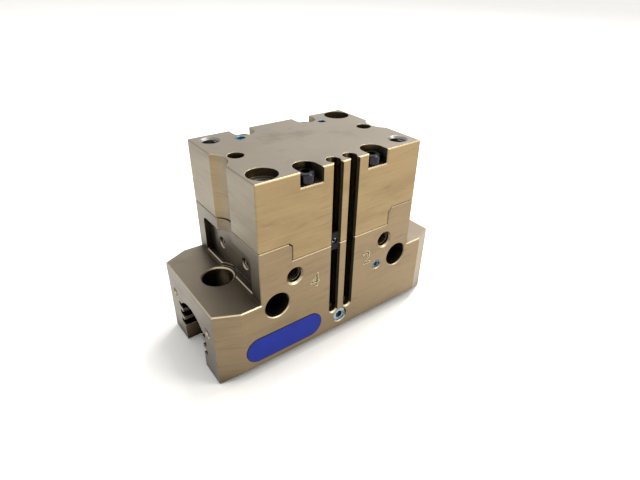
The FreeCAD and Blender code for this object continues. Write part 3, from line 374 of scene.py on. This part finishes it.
def anodised_aluminium(name, shades, wear_and_shine_share, cavity_tone):
    """Metal under a thin oxide: soft wide highlights, three shades that also paint the light of each side,
    level lines, some wear, painted shade and painted highlights.
    """
    material, tree, shader = new_material(name, metallic=1.0)
    long_faces, end_faces, top_faces = [colour(shade) for shade in shades]
    surface = read_surface(tree)
    lines, smudges, marks = handling_marks(tree, surface["point"])
    hollow_shade, painted_shade = painted_hollow_shade(tree, surface, cavity_tone)
    brightness = edge_shine_and_wear(tree, surface, hollow_shade, wear_and_shine_share)
    bare = bare_at_threads(tree, surface["point"])

    # mixing by face direction paints light and shade per side
    ends = add(tree, "Mix", {0: surface["levelness"], 6: end_faces, 7: top_faces}, data_type="RGBA")
    bar = add(tree, "Mix", {0: surface["frontness"], 6: ends.outputs[2], 7: long_faces}, data_type="RGBA")
    shade = bar.outputs[2]
    for tone in marks + painted_shade:
        toned = add(tree, "VectorMath", {0: shade, "Scale": tone}, operation="SCALE")
        shade = toned.outputs["Vector"]
    # edges are mixed towards that cream, as wear and painted highlight
    edge_lit_mix = add(tree, "Mix", {0: brightness, 6: shade, 7: EDGE_WEAR_HIGHLIGHT_COLOUR}, data_type="RGBA")
    # the bare cut takes the painted shade of the hollows too
    bare_cut = add(tree, "VectorMath", {0: BARE_CUT[:3], "Scale": hollow_shade}, operation="SCALE")
    finish = add(tree, "Mix", {0: bare, 6: edge_lit_mix.outputs[2], 7: bare_cut.outputs["Vector"]}, data_type="RGBA")
    tree.links.new(finish.outputs[2], shader.inputs["Base Color"])

    gloss = add(tree, "MapRange", {0: smudges, 1: 0.4, 2: 0.75, 3: 0.38, 4: 0.5})
    tree.links.new(gloss.outputs[0], shader.inputs["Roughness"])
    softened = add(tree, "Bevel", {"Radius": EDGE_RADIUS_MM * MM}, samples=4)
    ridges = add(tree, "Bump", {"Height": lines, "Strength": 0.12, "Distance": 0.01 * MM,
                                "Normal": softened.outputs[0]})
    tree.links.new(ridges.outputs[0], shader.inputs["Normal"])
    return material


def dress(material, *nodes):
    """Give the nodes one material in their only slot."""
    for node in nodes:
        slots = frame["nodes"][node].data.materials
        slots.clear()
        slots.append(material)


# cavity_tone is the darkest painted shade in the hollows of each finish
housing_metal = anodised_aluminium("anodised_housing", HOUSING_SHADES_WITH_SIDE_SHADE, wear_and_shine_share=0.8, cavity_tone=0.08)
cover_metal = anodised_aluminium("anodised_cover", COVER_SHADES_WITH_SIDE_LIGHT, wear_and_shine_share=0.4, cavity_tone=0.3)
thread_metal = anodised_aluminium("anodised_threads", HOUSING_SHADES_WITH_SIDE_SHADE, wear_and_shine_share=0.1, cavity_tone=0.2)
dress(housing_metal, "housing")
dress(cover_metal, "spring_cover")
print("nodes in one anodised finish:", len(housing_metal.node_tree.nodes))

# %% [markdown]
# ## Steel and other small metals
#
# Jaws and wedge hook are hardened steel with ground lines along the travel. Screws have a black
# oxide, the grease screw is zinc plated, and dowels, springs and magnets each have their own
# shade. They differ in colour, gloss and the size of their grain, so one function makes them
# all from those few facts.

# %% Small metals
def grained_metal(name, light, dark, roughness, grain_mm):
    """Metal whose shade and gloss wander a little between two tones, over grains of that size."""
    material, tree, shader = new_material(name, metallic=1.0)
    place = add(tree, "TexCoord")
    scale = [PER_MM / step for step in grain_mm]
    grain_place = add(tree, "Mapping", {"Vector": place.outputs["Object"], "Scale": scale})
    grain = add(tree, "TexNoise", {"Vector": grain_place.outputs[0], "Scale": 1.0, "Detail": 4.0})
    spread = add(tree, "MapRange", {0: grain.outputs[0], 1: 0.3, 2: 0.7})
    shade = add(tree, "Mix", {0: spread.outputs[0], 6: colour(dark), 7: colour(light)}, data_type="RGBA")
    tree.links.new(shade.outputs[2], shader.inputs["Base Color"])
    gloss = add(tree, "MapRange", {0: spread.outputs[0], 3: roughness * 1.2, 4: roughness * 0.85})
    tree.links.new(gloss.outputs[0], shader.inputs["Roughness"])
    relief = add(tree, "Bump", {"Height": grain.outputs[0], "Strength": 0.2, "Distance": 0.01 * MM})
    tree.links.new(relief.outputs[0], shader.inputs["Normal"])
    return material


ground_steel = grained_metal("ground_tool_steel", "#928D85", "#807B73", 0.3, (25.0, 0.3, 0.3))
black_oxide = grained_metal("black_oxide_steel", "#333137", "#29272D", 0.2, (0.8, 0.8, 0.8))
zinc_plating = grained_metal("zinc_plated_steel", "#A9B9C1", "#7C909B", 0.24, (0.5, 0.5, 0.5))
dowel_steel = grained_metal("ground_dowel_steel", "#B5B4B0", "#97958F", 0.22, (0.4, 0.4, 8.0))
spring_steel = grained_metal("tempered_spring_steel", "#6E6C6A", "#4D4B4A", 0.4, (1.0, 1.0, 1.0))
nickel = grained_metal("nickel_plating", "#D2CDBF", "#B9B3A4", 0.2, (1.5, 1.5, 1.5))
tapped_aluminium = grained_metal("tapped_aluminium", "#ADACAC", "#9A999A", 0.3, (0.6, 0.6, 0.6))
plain_aluminium = grained_metal("turned_aluminium", "#C9C9C7", "#ABABA9", 0.34, (30.0, 30.0, 0.4))

dress(ground_steel, "base_jaw_left", "base_jaw_right", "wedge_hook")
dress(black_oxide, "cover_screw_front_left", "cover_screw_front_right", "cover_screw_back_left",
      "cover_screw_back_right", "piston_bolt")
dress(zinc_plating, "grease_screw", "slot_stop_screw")
dress(dowel_steel, "cover_dowel_left", "cover_dowel_right")
dress(spring_steel, "closing_spring_left", "closing_spring_right")
dress(nickel, "piston_magnet_left", "piston_magnet_right")
dress(plain_aluminium, "piston")
print("dark screws:", [name for name in frame["nodes"] if name.startswith("cover_screw")])

# %% [markdown]
# ## Rubber, plastic and sealant
#
# The sealing rings are black nitrile rubber with a faint moulded haze, and the stop in the left
# slot is moulded black plastic. The little plugs are zinc plated under blue thread sealant that
# was wiped over them, so their colour is patchy: blue where it stayed, bright metal where a key
# or a rag took it off. Metal and sealant share one material, and a noise says which one shows.

# %% Rubber, plastic and sealed plugs
def moulded_black(name, light, dark, roughness, grain_mm):
    """Rubber or plastic from a mould: almost black, with a faint haze and little gloss."""
    material, tree, shader = new_material(name, roughness=roughness)
    shader.inputs["Specular IOR Level"].default_value = 0.12    # a film of oil and dust dulls it
    place = add(tree, "TexCoord")
    grain = add(tree, "TexNoise", {"Vector": place.outputs["Object"], "Scale": PER_MM / grain_mm,
                                   "Detail": 3.0})
    shade = add(tree, "Mix", {0: grain.outputs[0], 6: colour(dark), 7: colour(light)}, data_type="RGBA")
    tree.links.new(shade.outputs[2], shader.inputs["Base Color"])
    relief = add(tree, "Bump", {"Height": grain.outputs[0], "Strength": 0.3, "Distance": 0.02 * MM})
    tree.links.new(relief.outputs[0], shader.inputs["Normal"])
    return material


SEALANT_PATCH_MM = 1.1


def sealed_zinc():
    """Zinc plating with wiped blue sealant: gloss paint in patches, metal between them."""
    material, tree, shader = new_material("zinc_with_blue_sealant", roughness=0.35)
    place = add(tree, "TexCoord")
    patches = add(tree, "TexNoise", {"Vector": place.outputs["Object"], "Scale": PER_MM / SEALANT_PATCH_MM,
                                     "Detail": 4.0})
    bare = add(tree, "MapRange", {0: patches.outputs[0], 1: 0.52, 2: 0.62})
    shade = add(tree, "Mix", {0: bare.outputs[0], 6: colour("#1D4F70"), 7: colour("#A9B6BE")},
                data_type="RGBA")
    tree.links.new(shade.outputs[2], shader.inputs["Base Color"])
    tree.links.new(bare.outputs[0], shader.inputs["Metallic"])
    relief = add(tree, "Bump", {"Height": patches.outputs[0], "Strength": 0.5, "Distance": 0.08 * MM})
    tree.links.new(relief.outputs[0], shader.inputs["Normal"])
    return material


nitrile = moulded_black("nitrile_rubber", "#1B1A1A", "#0D0C0C", 0.6, 0.6)
black_plastic = moulded_black("moulded_black_plastic", "#121214", "#08080A", 0.5, 0.4)
sealed_plug = sealed_zinc()
dress(nitrile, "piston_seal_lower", "piston_seal_upper", "rod_seal", "cover_seal")
dress(black_plastic, "slot_stop")
dress(sealed_plug, "air_plug_left", "air_plug_right", "duct_plug")
bare_nodes = [name for name, node in frame["nodes"].items() if not node.data.materials]
print("nodes without a material:", bare_nodes)

# %% [markdown]
# ## From a bmesh to a piece
#
# Every new piece is shaped in a bmesh, Blender's editable mesh. One helper writes it into an
# object at the origin, with its place in its mesh, gives it its material, and lets it ride on
# the body of the gripper that carries it.

# %% Piece helper
def finish_piece(name, shape, material, body="gripper_body", smooth=True):
    """Turn a bmesh into an object that rides on a body."""
    bmesh.ops.recalc_face_normals(shape, faces=shape.faces)
    mesh = bpy.data.meshes.new(name)
    shape.to_mesh(mesh)
    shape.free()
    for polygon in mesh.polygons:
        polygon.use_smooth = smooth
    mesh.materials.append(material)
    piece = bpy.data.objects.new(name, mesh)
    bpy.context.scene.collection.objects.link(piece)
    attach(piece, body)
    print(name, "faces:", len(mesh.polygons))
    return piece


# %% [markdown]
# ## The blue plate
#
# A stuck-on plate with round ends sits on the front, low on the left. Its place is kept and it
# stays bare. A circle gives both round ends: its two halves are pulled apart, the face between
# them stretches along, and an extrusion with a small bevel gives the thickness of printed foil.
# The same shape, a little wider and lower, in black, makes a painted shadow round the plate's edge.

# %% Plate material
PLATE_DIMPLE_MM = 0.5
PLATE_HAZE_MM = 9.0


def blue_foil():
    """Printed vinyl under a matt film: deep blue, half dull, very slightly uneven."""
    material, tree, shader = new_material("printed_blue_foil", roughness=0.45)
    shader.inputs["Specular IOR Level"].default_value = 0.12    # a matt overlaminate keeps it deep
    place = add(tree, "TexCoord")
    dimples = add(tree, "TexNoise", {"Vector": place.outputs["Object"], "Scale": PER_MM / PLATE_DIMPLE_MM})
    haze = add(tree, "TexNoise", {"Vector": place.outputs["Object"], "Scale": PER_MM / PLATE_HAZE_MM,
                                  "Detail": 4.0})
    shade = add(tree, "Mix", {0: haze.outputs[0], 6: colour("#0E1C6E"), 7: colour("#1A2C90")},
                data_type="RGBA")
    tree.links.new(shade.outputs[2], shader.inputs["Base Color"])
    relief = add(tree, "Bump", {"Height": dimples.outputs[0], "Strength": 0.08, "Distance": 0.02 * MM})
    tree.links.new(relief.outputs[0], shader.inputs["Normal"])
    return material


plate_foil = blue_foil()
print("plate finish:", plate_foil.name)

# %% Plate shape
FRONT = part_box("housing")[0].y
PLATE_LENGTH = 28.4 * MM
PLATE_HEIGHT = 9.2 * MM
BORDER = 0.18 * MM
PLATE_THICKNESS = 0.15 * MM
SHADOW_RIM_SHARE = 0.7    # of the plate's thickness
PLATE_MIDDLE = Vector((-22.3 * MM, FRONT, 10.6 * MM))
UPRIGHT = Matrix.Rotation(math.radians(90), 4, "X")    # lays a flat shape against the front
ROUND_STEPS = 64


def round_ended_plate(length, height, thickness):
    """Flat plate with round ends and a softened upper edge, laid against the front."""
    plate = bmesh.new()
    bmesh.ops.create_circle(plate, segments=ROUND_STEPS, radius=height / 2, cap_ends=True)
    half_step = Matrix.Rotation(math.pi / ROUND_STEPS, 4, "Z")
    bmesh.ops.transform(plate, matrix=half_step, verts=plate.verts)
    for side in (-1, 1):
        half = [vert for vert in plate.verts if vert.co.x * side > 0]
        bmesh.ops.translate(plate, verts=half, vec=(side * (length - height) / 2, 0, 0))
    raised = bmesh.ops.extrude_face_region(plate, geom=plate.faces[:])
    top_verts = [item for item in raised["geom"] if isinstance(item, bmesh.types.BMVert)]
    bmesh.ops.translate(plate, verts=top_verts, vec=(0, 0, thickness))
    rim = [edge for edge in plate.edges if all(vert in top_verts for vert in edge.verts)]
    bmesh.ops.bevel(plate, geom=rim, offset=thickness / 3, affect="EDGES", segments=2, profile=0.5,
                    material=-1)
    bmesh.ops.transform(plate, matrix=Matrix.Translation(PLATE_MIDDLE) @ UPRIGHT, verts=plate.verts)
    return plate


blue_face = round_ended_plate(PLATE_LENGTH - BORDER * 2, PLATE_HEIGHT - BORDER * 2, PLATE_THICKNESS)
# a black rim round the plate paints its shadow
painted_shadow_rim = round_ended_plate(PLATE_LENGTH, PLATE_HEIGHT, PLATE_THICKNESS * SHADOW_RIM_SHARE)
finish_piece("front_plate", blue_face, plate_foil, smooth=False)
finish_piece("front_plate_border", painted_shadow_rim, black_plastic, smooth=False)

# %% [markdown]
# ## Threads in the holes
#
# The solids have plain holes where the real part has threads. A tapped hole shows a spiral of
# bright and dark lines inside its rim. A spin that also moves along its axis makes that spiral
# from one small triangle, and the mounts of the record say where the holes are.

# %% Thread helper
ROW_AXES = (Vector((1, 0, 0)), Vector((0, 1, 0)), Vector((0, 0, 1)))
THREAD_STEPS = 24
ROOT_OVERLAP = 0.02 * MM    # the ridge grows out of the wall of the hole
RIDGE_FOOT = 0.9    # share of the pitch that a ridge takes at the wall


def hole_places(name):
    """Centres of a mount's holes, from its middle and its spacings."""
    mount = mounts[name]
    outward = Vector(mount["axis"])
    across = [axis for axis in ROW_AXES if abs(axis.dot(outward)) < 0.5]
    spacings = [mount["dims"].get(key, 0.0) * MM for key in ("spacing_x_mm", "spacing_y_mm")]
    offsets = [(0.0,) if spacing == 0 else (-spacing / 2, spacing / 2) for spacing in spacings]
    middle = Vector(mount["pos_m"])
    return [middle + across[0] * one + across[1] * other for one in offsets[0] for other in offsets[1]]


def add_thread(shape, mouth, outward, radius, pitch, height, depth):
    """Right-handed spiral ridge inside a hole, from its mouth inwards."""
    aside = outward.orthogonal().normalized()
    start = mouth + aside * (radius + ROOT_OVERLAP)
    corners = [
        shape.verts.new(start),
        shape.verts.new(start - aside * height - outward * pitch * RIDGE_FOOT / 2),
        shape.verts.new(start - outward * pitch * RIDGE_FOOT),
    ]
    ridge = shape.faces.new(corners)
    turns = depth / pitch
    steps = int(turns * THREAD_STEPS)
    bmesh.ops.spin(shape, geom=[ridge], cent=mouth, axis=-outward, angle=turns * math.tau, steps=steps,
                   dvec=-outward * depth / steps, use_merge=False, use_duplicate=False)


print("air ports in mm:", [[round(part / MM, 1) for part in place] for place in hole_places("air_ports")])

# %% Threads of each mount
SEAT_STEP = 2.6 * MM    # the two seated mounting threads start this much lower
THREADS = (
    # mount, pitch, ridge height, start above the mount's point and length in mm, body, finish
    ("air_ports", 0.8, 0.4, 0.3, 5.0, "gripper_body", thread_metal),
    ("mounting_threads", 1.0, 0.25, 3.2, 8.0, "gripper_body", tapped_aluminium),
    ("wall_threads_left", 0.7, 0.2, -0.5, 4.0, "gripper_body", tapped_aluminium),
    ("wall_threads_right", 0.7, 0.2, -0.5, 4.0, "gripper_body", tapped_aluminium),
    ("finger_threads_left", 0.7, 0.2, 0.0, 6.0, "jaw_left", ground_steel),
    ("finger_threads_right", 0.7, 0.2, 0.0, 6.0, "jaw_right", ground_steel),
)
for mount_name, pitch_mm, ridge_mm, lift_mm, length_mm, body, material in THREADS:
    spirals = bmesh.new()
    outward = Vector(mounts[mount_name]["axis"])
    radius = mounts[mount_name]["dims"]["hole_r_mm"] * MM
    for place in hole_places(mount_name):
        seated = mount_name == "mounting_threads" and place.x * place.y > 0
        mouth = place + outward * (lift_mm * MM - (SEAT_STEP if seated else 0))
        add_thread(spirals, mouth, outward, radius, pitch_mm * MM, ridge_mm * MM, length_mm * MM)
    finish_piece("thread_" + mount_name, spirals, material, body)

# %% Threads in the end faces
END_SPACING = 24.8 * MM
END_LEVEL = 17.75 * MM
END_CORE_RADIUS = 1.25 * MM
END_PITCH = 0.5 * MM
END_RIDGE = 0.14 * MM
END_SINK = 0.45 * MM
END_LENGTH = 5.0 * MM
end_spirals = bmesh.new()
for end in (-1, 1):
    for side in (-1, 1):
        mouth = Vector((end * (cad_high.x - END_SINK), side * END_SPACING / 2, END_LEVEL))
        outward = Vector((end, 0, 0))
        add_thread(end_spirals, mouth, outward, END_CORE_RADIUS, END_PITCH, END_RIDGE, END_LENGTH)
finish_piece("thread_end_faces", end_spirals, thread_metal)

# %% [markdown]
# ## Port numbers
#
# Each air port has a mark beside it, cut into the front by a fine cutter. A plain number stands there: 4 and
# 2, as the two working lines of an air valve are numbered. The floor of the cut is painted dark as its
# shade, and a burr along the outline is painted bright, as bare metal and as a highlight. Text can be
# filled, which gives the floor, or only bevelled along its outline, which gives the burr. Both become meshes
# before they are laid against the front.

# %% Port numbers
NUMBER_SIZE = 7.2 * MM
BURR_RADIUS = 0.14 * MM
FLOOR_LIFT = 0.03 * MM
WELD_DISTANCE = 0.002 * MM
PORT_MARKS = (("4", -10.9 * MM, 28.1 * MM), ("2", 10.7 * MM, 28.5 * MM))
# the cut's floor is painted dark as its shade; the burr is painted bright as bare metal and highlight
cut_floor_shade = grained_metal("oiled_engraving", "#5A4F3D", "#443B2D", 0.5, (0.5, 0.5, 0.5))
bright_burr = grained_metal("bright_burr", "#D2C4A2", "#AA9C7C", 0.3, (0.5, 0.5, 0.5))


def number_shape(digit, **settings):
    """A digit as a bmesh, from a text object with these settings."""
    letters = bpy.data.curves.new("number", "FONT")
    letters.body = digit
    letters.size = NUMBER_SIZE
    letters.align_x = "CENTER"
    letters.align_y = "CENTER"
    for name, value in settings.items():
        setattr(letters, name, value)
    holder = bpy.data.objects.new("number", letters)
    shape = bmesh.new()
    shape.from_mesh(bpy.data.meshes.new_from_object(holder))
    bpy.data.objects.remove(holder)
    bmesh.ops.remove_doubles(shape, verts=shape.verts, dist=WELD_DISTANCE)
    return shape


for digit, across, up in PORT_MARKS:
    on_front = Matrix.Translation((across, FRONT, up)) @ UPRIGHT
    floor_of_cut = number_shape(digit, fill_mode="BOTH", extrude=FLOOR_LIFT)
    burr = number_shape(digit, fill_mode="NONE", bevel_depth=BURR_RADIUS, bevel_resolution=2)
    for shape in (floor_of_cut, burr):
        bmesh.ops.transform(shape, matrix=on_front, verts=shape.verts)
    finish_piece("port_number_" + digit, floor_of_cut, cut_floor_shade, smooth=False)
    finish_piece("port_number_burr_" + digit, burr, bright_burr)

# %% [markdown]
# ## Sealant round the plugs
#
# The plugs and the grease screw were set in blue thread sealant, and some of it squeezed out over
# part of each rim. A low triangle is spun part of the way round, which closes into an arc, and
# the points of its outer edge are pulled in by a seeded random share, because a wiped film has
# no even edge.

# %% Sealant film
random.seed(7)
FILM_CREST = 0.05 * MM
FILM_ROOT = -0.3 * MM
FILM_STEPS = 40
WIPED_SHARES = (0.85, 1.0)
OUTER_SHARE = 0.99    # points beyond this share of the radius belong to the outer edge


def blue_sealant():
    """Cured thread sealant: teal blue, pale where it is thin and almost black where it is thick."""
    material, tree, shader = new_material("cured_blue_sealant", roughness=0.3)
    place = add(tree, "TexCoord")
    depth = add(tree, "TexNoise", {"Vector": place.outputs["Object"], "Scale": PER_MM / SEALANT_PATCH_MM,
                                   "Detail": 5.0})
    thin = add(tree, "MapRange", {0: depth.outputs[0], 1: 0.35, 2: 0.65})
    shade = add(tree, "Mix", {0: thin.outputs[0], 6: colour("#0B2F48"), 7: colour("#4C8DB0")},
                data_type="RGBA")
    tree.links.new(shade.outputs[2], shader.inputs["Base Color"])
    relief = add(tree, "Bump", {"Height": depth.outputs[0], "Strength": 0.5, "Distance": 0.1 * MM})
    tree.links.new(relief.outputs[0], shader.inputs["Normal"])
    return material


sealant = blue_sealant()
FILMS = (
    # node, inner and outer radius in mm, start and length of the arc in degrees
    ("air_plug_left", 1.0, 2.1, 40, 280),
    ("air_plug_right", 1.0, 1.9, -60, 250),
    ("duct_plug", 1.0, 2.0, 20, 190),
    ("grease_screw", 1.7, 2.5, -110, 120),
)
for node, inner_mm, outer_mm, start_degrees, arc_degrees in FILMS:
    low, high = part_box(node)
    middle = (low + high) / 2
    outer = outer_mm * MM
    crest = (inner_mm + outer_mm) / 2 * MM
    outline = ((inner_mm * MM, FILM_ROOT), (crest, FILM_CREST), (outer, 0))
    film = bmesh.new()
    section = film.faces.new([film.verts.new((reach, 0, up)) for reach, up in outline])
    first_turn = Matrix.Rotation(math.radians(start_degrees), 4, "Z")
    bmesh.ops.transform(film, matrix=first_turn, verts=film.verts)
    bmesh.ops.spin(film, geom=[section], cent=(0, 0, 0), axis=(0, 0, 1), angle=math.radians(arc_degrees),
                   steps=FILM_STEPS, use_merge=False, use_duplicate=False)
    for vert in film.verts:
        if vert.co.xy.length > outer * OUTER_SHARE:
            vert.co.xy = vert.co.xy * random.uniform(*WIPED_SHARES)
    if node.startswith("air_plug"):
        on_face = Matrix.Translation((middle.x, middle.y, cad_high.z))
    else:
        on_face = Matrix.Translation((middle.x, FRONT, middle.z)) @ UPRIGHT
    bmesh.ops.transform(film, matrix=on_face, verts=film.verts)
    finish_piece("sealant_" + node, film, sealant)

# %% [markdown]
# ## Coiled springs
#
# The solids hold each closing spring at its rest length. When the piston rises, the real spring shortens.
# Here a coil of round wire stands for the solid, at the same rest length, and the solid is hidden. Its wire
# is one circle, spun up seven turns.

# %% Closing springs
SPRING_TURNS = 7
SPRING_WIRE = 1.4 * MM
WIRE_SIDES = 10
TURN_STEPS = 32
for side in ("left", "right"):
    node = "closing_spring_" + side
    low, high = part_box(node)
    middle = (low + high) / 2
    coil_radius = (high.x - low.x - SPRING_WIRE) / 2
    climb = high.z - low.z - SPRING_WIRE
    coil = bmesh.new()
    ring = bmesh.ops.create_circle(coil, segments=WIRE_SIDES, radius=SPRING_WIRE / 2, cap_ends=True)
    stand = Matrix.Translation((middle.x + coil_radius, middle.y, low.z + SPRING_WIRE / 2)) @ UPRIGHT
    bmesh.ops.transform(coil, matrix=stand, verts=ring["verts"])
    steps = SPRING_TURNS * TURN_STEPS
    bmesh.ops.spin(coil, geom=coil.faces[:], cent=(middle.x, middle.y, low.z), axis=(0, 0, 1),
                   angle=SPRING_TURNS * math.tau, steps=steps, dvec=(0, 0, climb / steps),
                   use_merge=False, use_duplicate=False)
    spring = finish_piece("coil_" + side, coil, spring_steel)
    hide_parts(node)
    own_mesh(spring)

# %% [markdown]
# ## Floor, light and camera
#
# The gripper stands on a plain white floor in soft, even light. A wide pale floor is enough: it
# fills the picture and is also what the metal mirrors. Large area lamps give soft edges, and the
# camera stands a hand's length away, above the left front corner, as in the photograph.

# %% Floor
FLOOR_HALF = 6.0
FLOOR_GAP = 0.02 * MM    # keeps the floor clear of the faces that stand on it
MOTTLES_PER_METRE = 4.0


def pale_floor():
    """Matt white laminate: almost even, with a faint wide mottle."""
    material, tree, shader = new_material("white_floor", roughness=0.6)
    place = add(tree, "TexCoord")
    mottle = add(tree, "TexNoise", {"Vector": place.outputs["Object"], "Scale": MOTTLES_PER_METRE,
                                    "Detail": 3.0})
    shade = add(tree, "Mix", {0: mottle.outputs[0], 6: colour("#F4F4F3"), 7: colour("#FAFAFA")},
                data_type="RGBA")
    tree.links.new(shade.outputs[2], shader.inputs["Base Color"])
    return material


floor_shape = bmesh.new()
bmesh.ops.create_grid(floor_shape, x_segments=1, y_segments=1, size=FLOOR_HALF)
bmesh.ops.translate(floor_shape, verts=floor_shape.verts, vec=(0, 0, -FLOOR_GAP))
floor_mesh = bpy.data.meshes.new("floor")
floor_shape.to_mesh(floor_mesh)
floor_shape.free()
floor_mesh.materials.append(pale_floor())
floor = bpy.data.objects.new("floor", floor_mesh)
bpy.context.scene.collection.objects.link(floor)
floor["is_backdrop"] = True
print("floor in metres across:", FLOOR_HALF * 2)

# %% Light
world = bpy.data.worlds.new("soft_room")
bpy.context.scene.world = world
world.use_nodes = True
room_light = world.node_tree.nodes["Background"]
room_light.inputs["Color"].default_value = colour("#FBFAF7")
room_light.inputs["Strength"].default_value = 1.0


def area_lamp(name, place, aim, width, power, tint):
    """Square soft lamp that looks from one point to another."""
    lamp = bpy.data.lights.new(name, "AREA")
    lamp.size = width
    lamp.energy = power
    lamp.color = colour(tint)[:3]
    holder = bpy.data.objects.new(name, lamp)
    holder.location = place
    holder.rotation_mode = "QUATERNION"
    holder.rotation_quaternion = (Vector(aim) - Vector(place)).to_track_quat("-Z", "Y")
    bpy.context.scene.collection.objects.link(holder)
    return holder


middle_of_part = (cad_low + cad_high) / 2
area_lamp("key_light", (0.45, 0.15, 0.8), middle_of_part, width=0.5, power=8.0, tint="#FFFDF8")
area_lamp("edge_light", (0.45, -0.45, 0.65), middle_of_part, width=0.35, power=3.0, tint="#FFF8EC")
bpy.context.scene.view_settings.view_transform = "Standard"

# %% Camera
PICTURE_WIDTH = 640
FOCAL_PIXELS = 457.47
SENSOR_MM = 36.0
NEAREST_SEEN = 0.005
CAMERA_PLACE = (-0.08018, -0.11436, 0.11428)
CAMERA_AIM = (0.0024, -0.00564, 0.03085)
CAMERA_ROLL_DEGREES = 1.15
camera_data = bpy.data.cameras.new("camera")
camera_data.sensor_width = SENSOR_MM
camera_data.lens = FOCAL_PIXELS / PICTURE_WIDTH * SENSOR_MM
camera_data.clip_start = NEAREST_SEEN
camera = bpy.data.objects.new("camera", camera_data)
towards_part = (Vector(CAMERA_AIM) - Vector(CAMERA_PLACE)).to_track_quat("-Z", "Y").to_matrix().to_4x4()
roll = Matrix.Rotation(math.radians(CAMERA_ROLL_DEGREES), 4, "Z")
camera.matrix_world = Matrix.Translation(CAMERA_PLACE) @ towards_part @ roll
bpy.context.scene.collection.objects.link(camera)
bpy.context.scene.camera = camera
print("lens in mm:", round(camera_data.lens, 2))

# %% [markdown]
# ## The last check
#
# The box of the dressed model is compared with the box of the bare solids, and the growth is printed as
# plain numbers.

# %% Compare the boxes and finish
seen_low, seen_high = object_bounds()
growth = (seen_high - seen_low) - (cad_high - cad_low)
print("growth in mm:", [round(edge / MM, 3) for edge in growth])
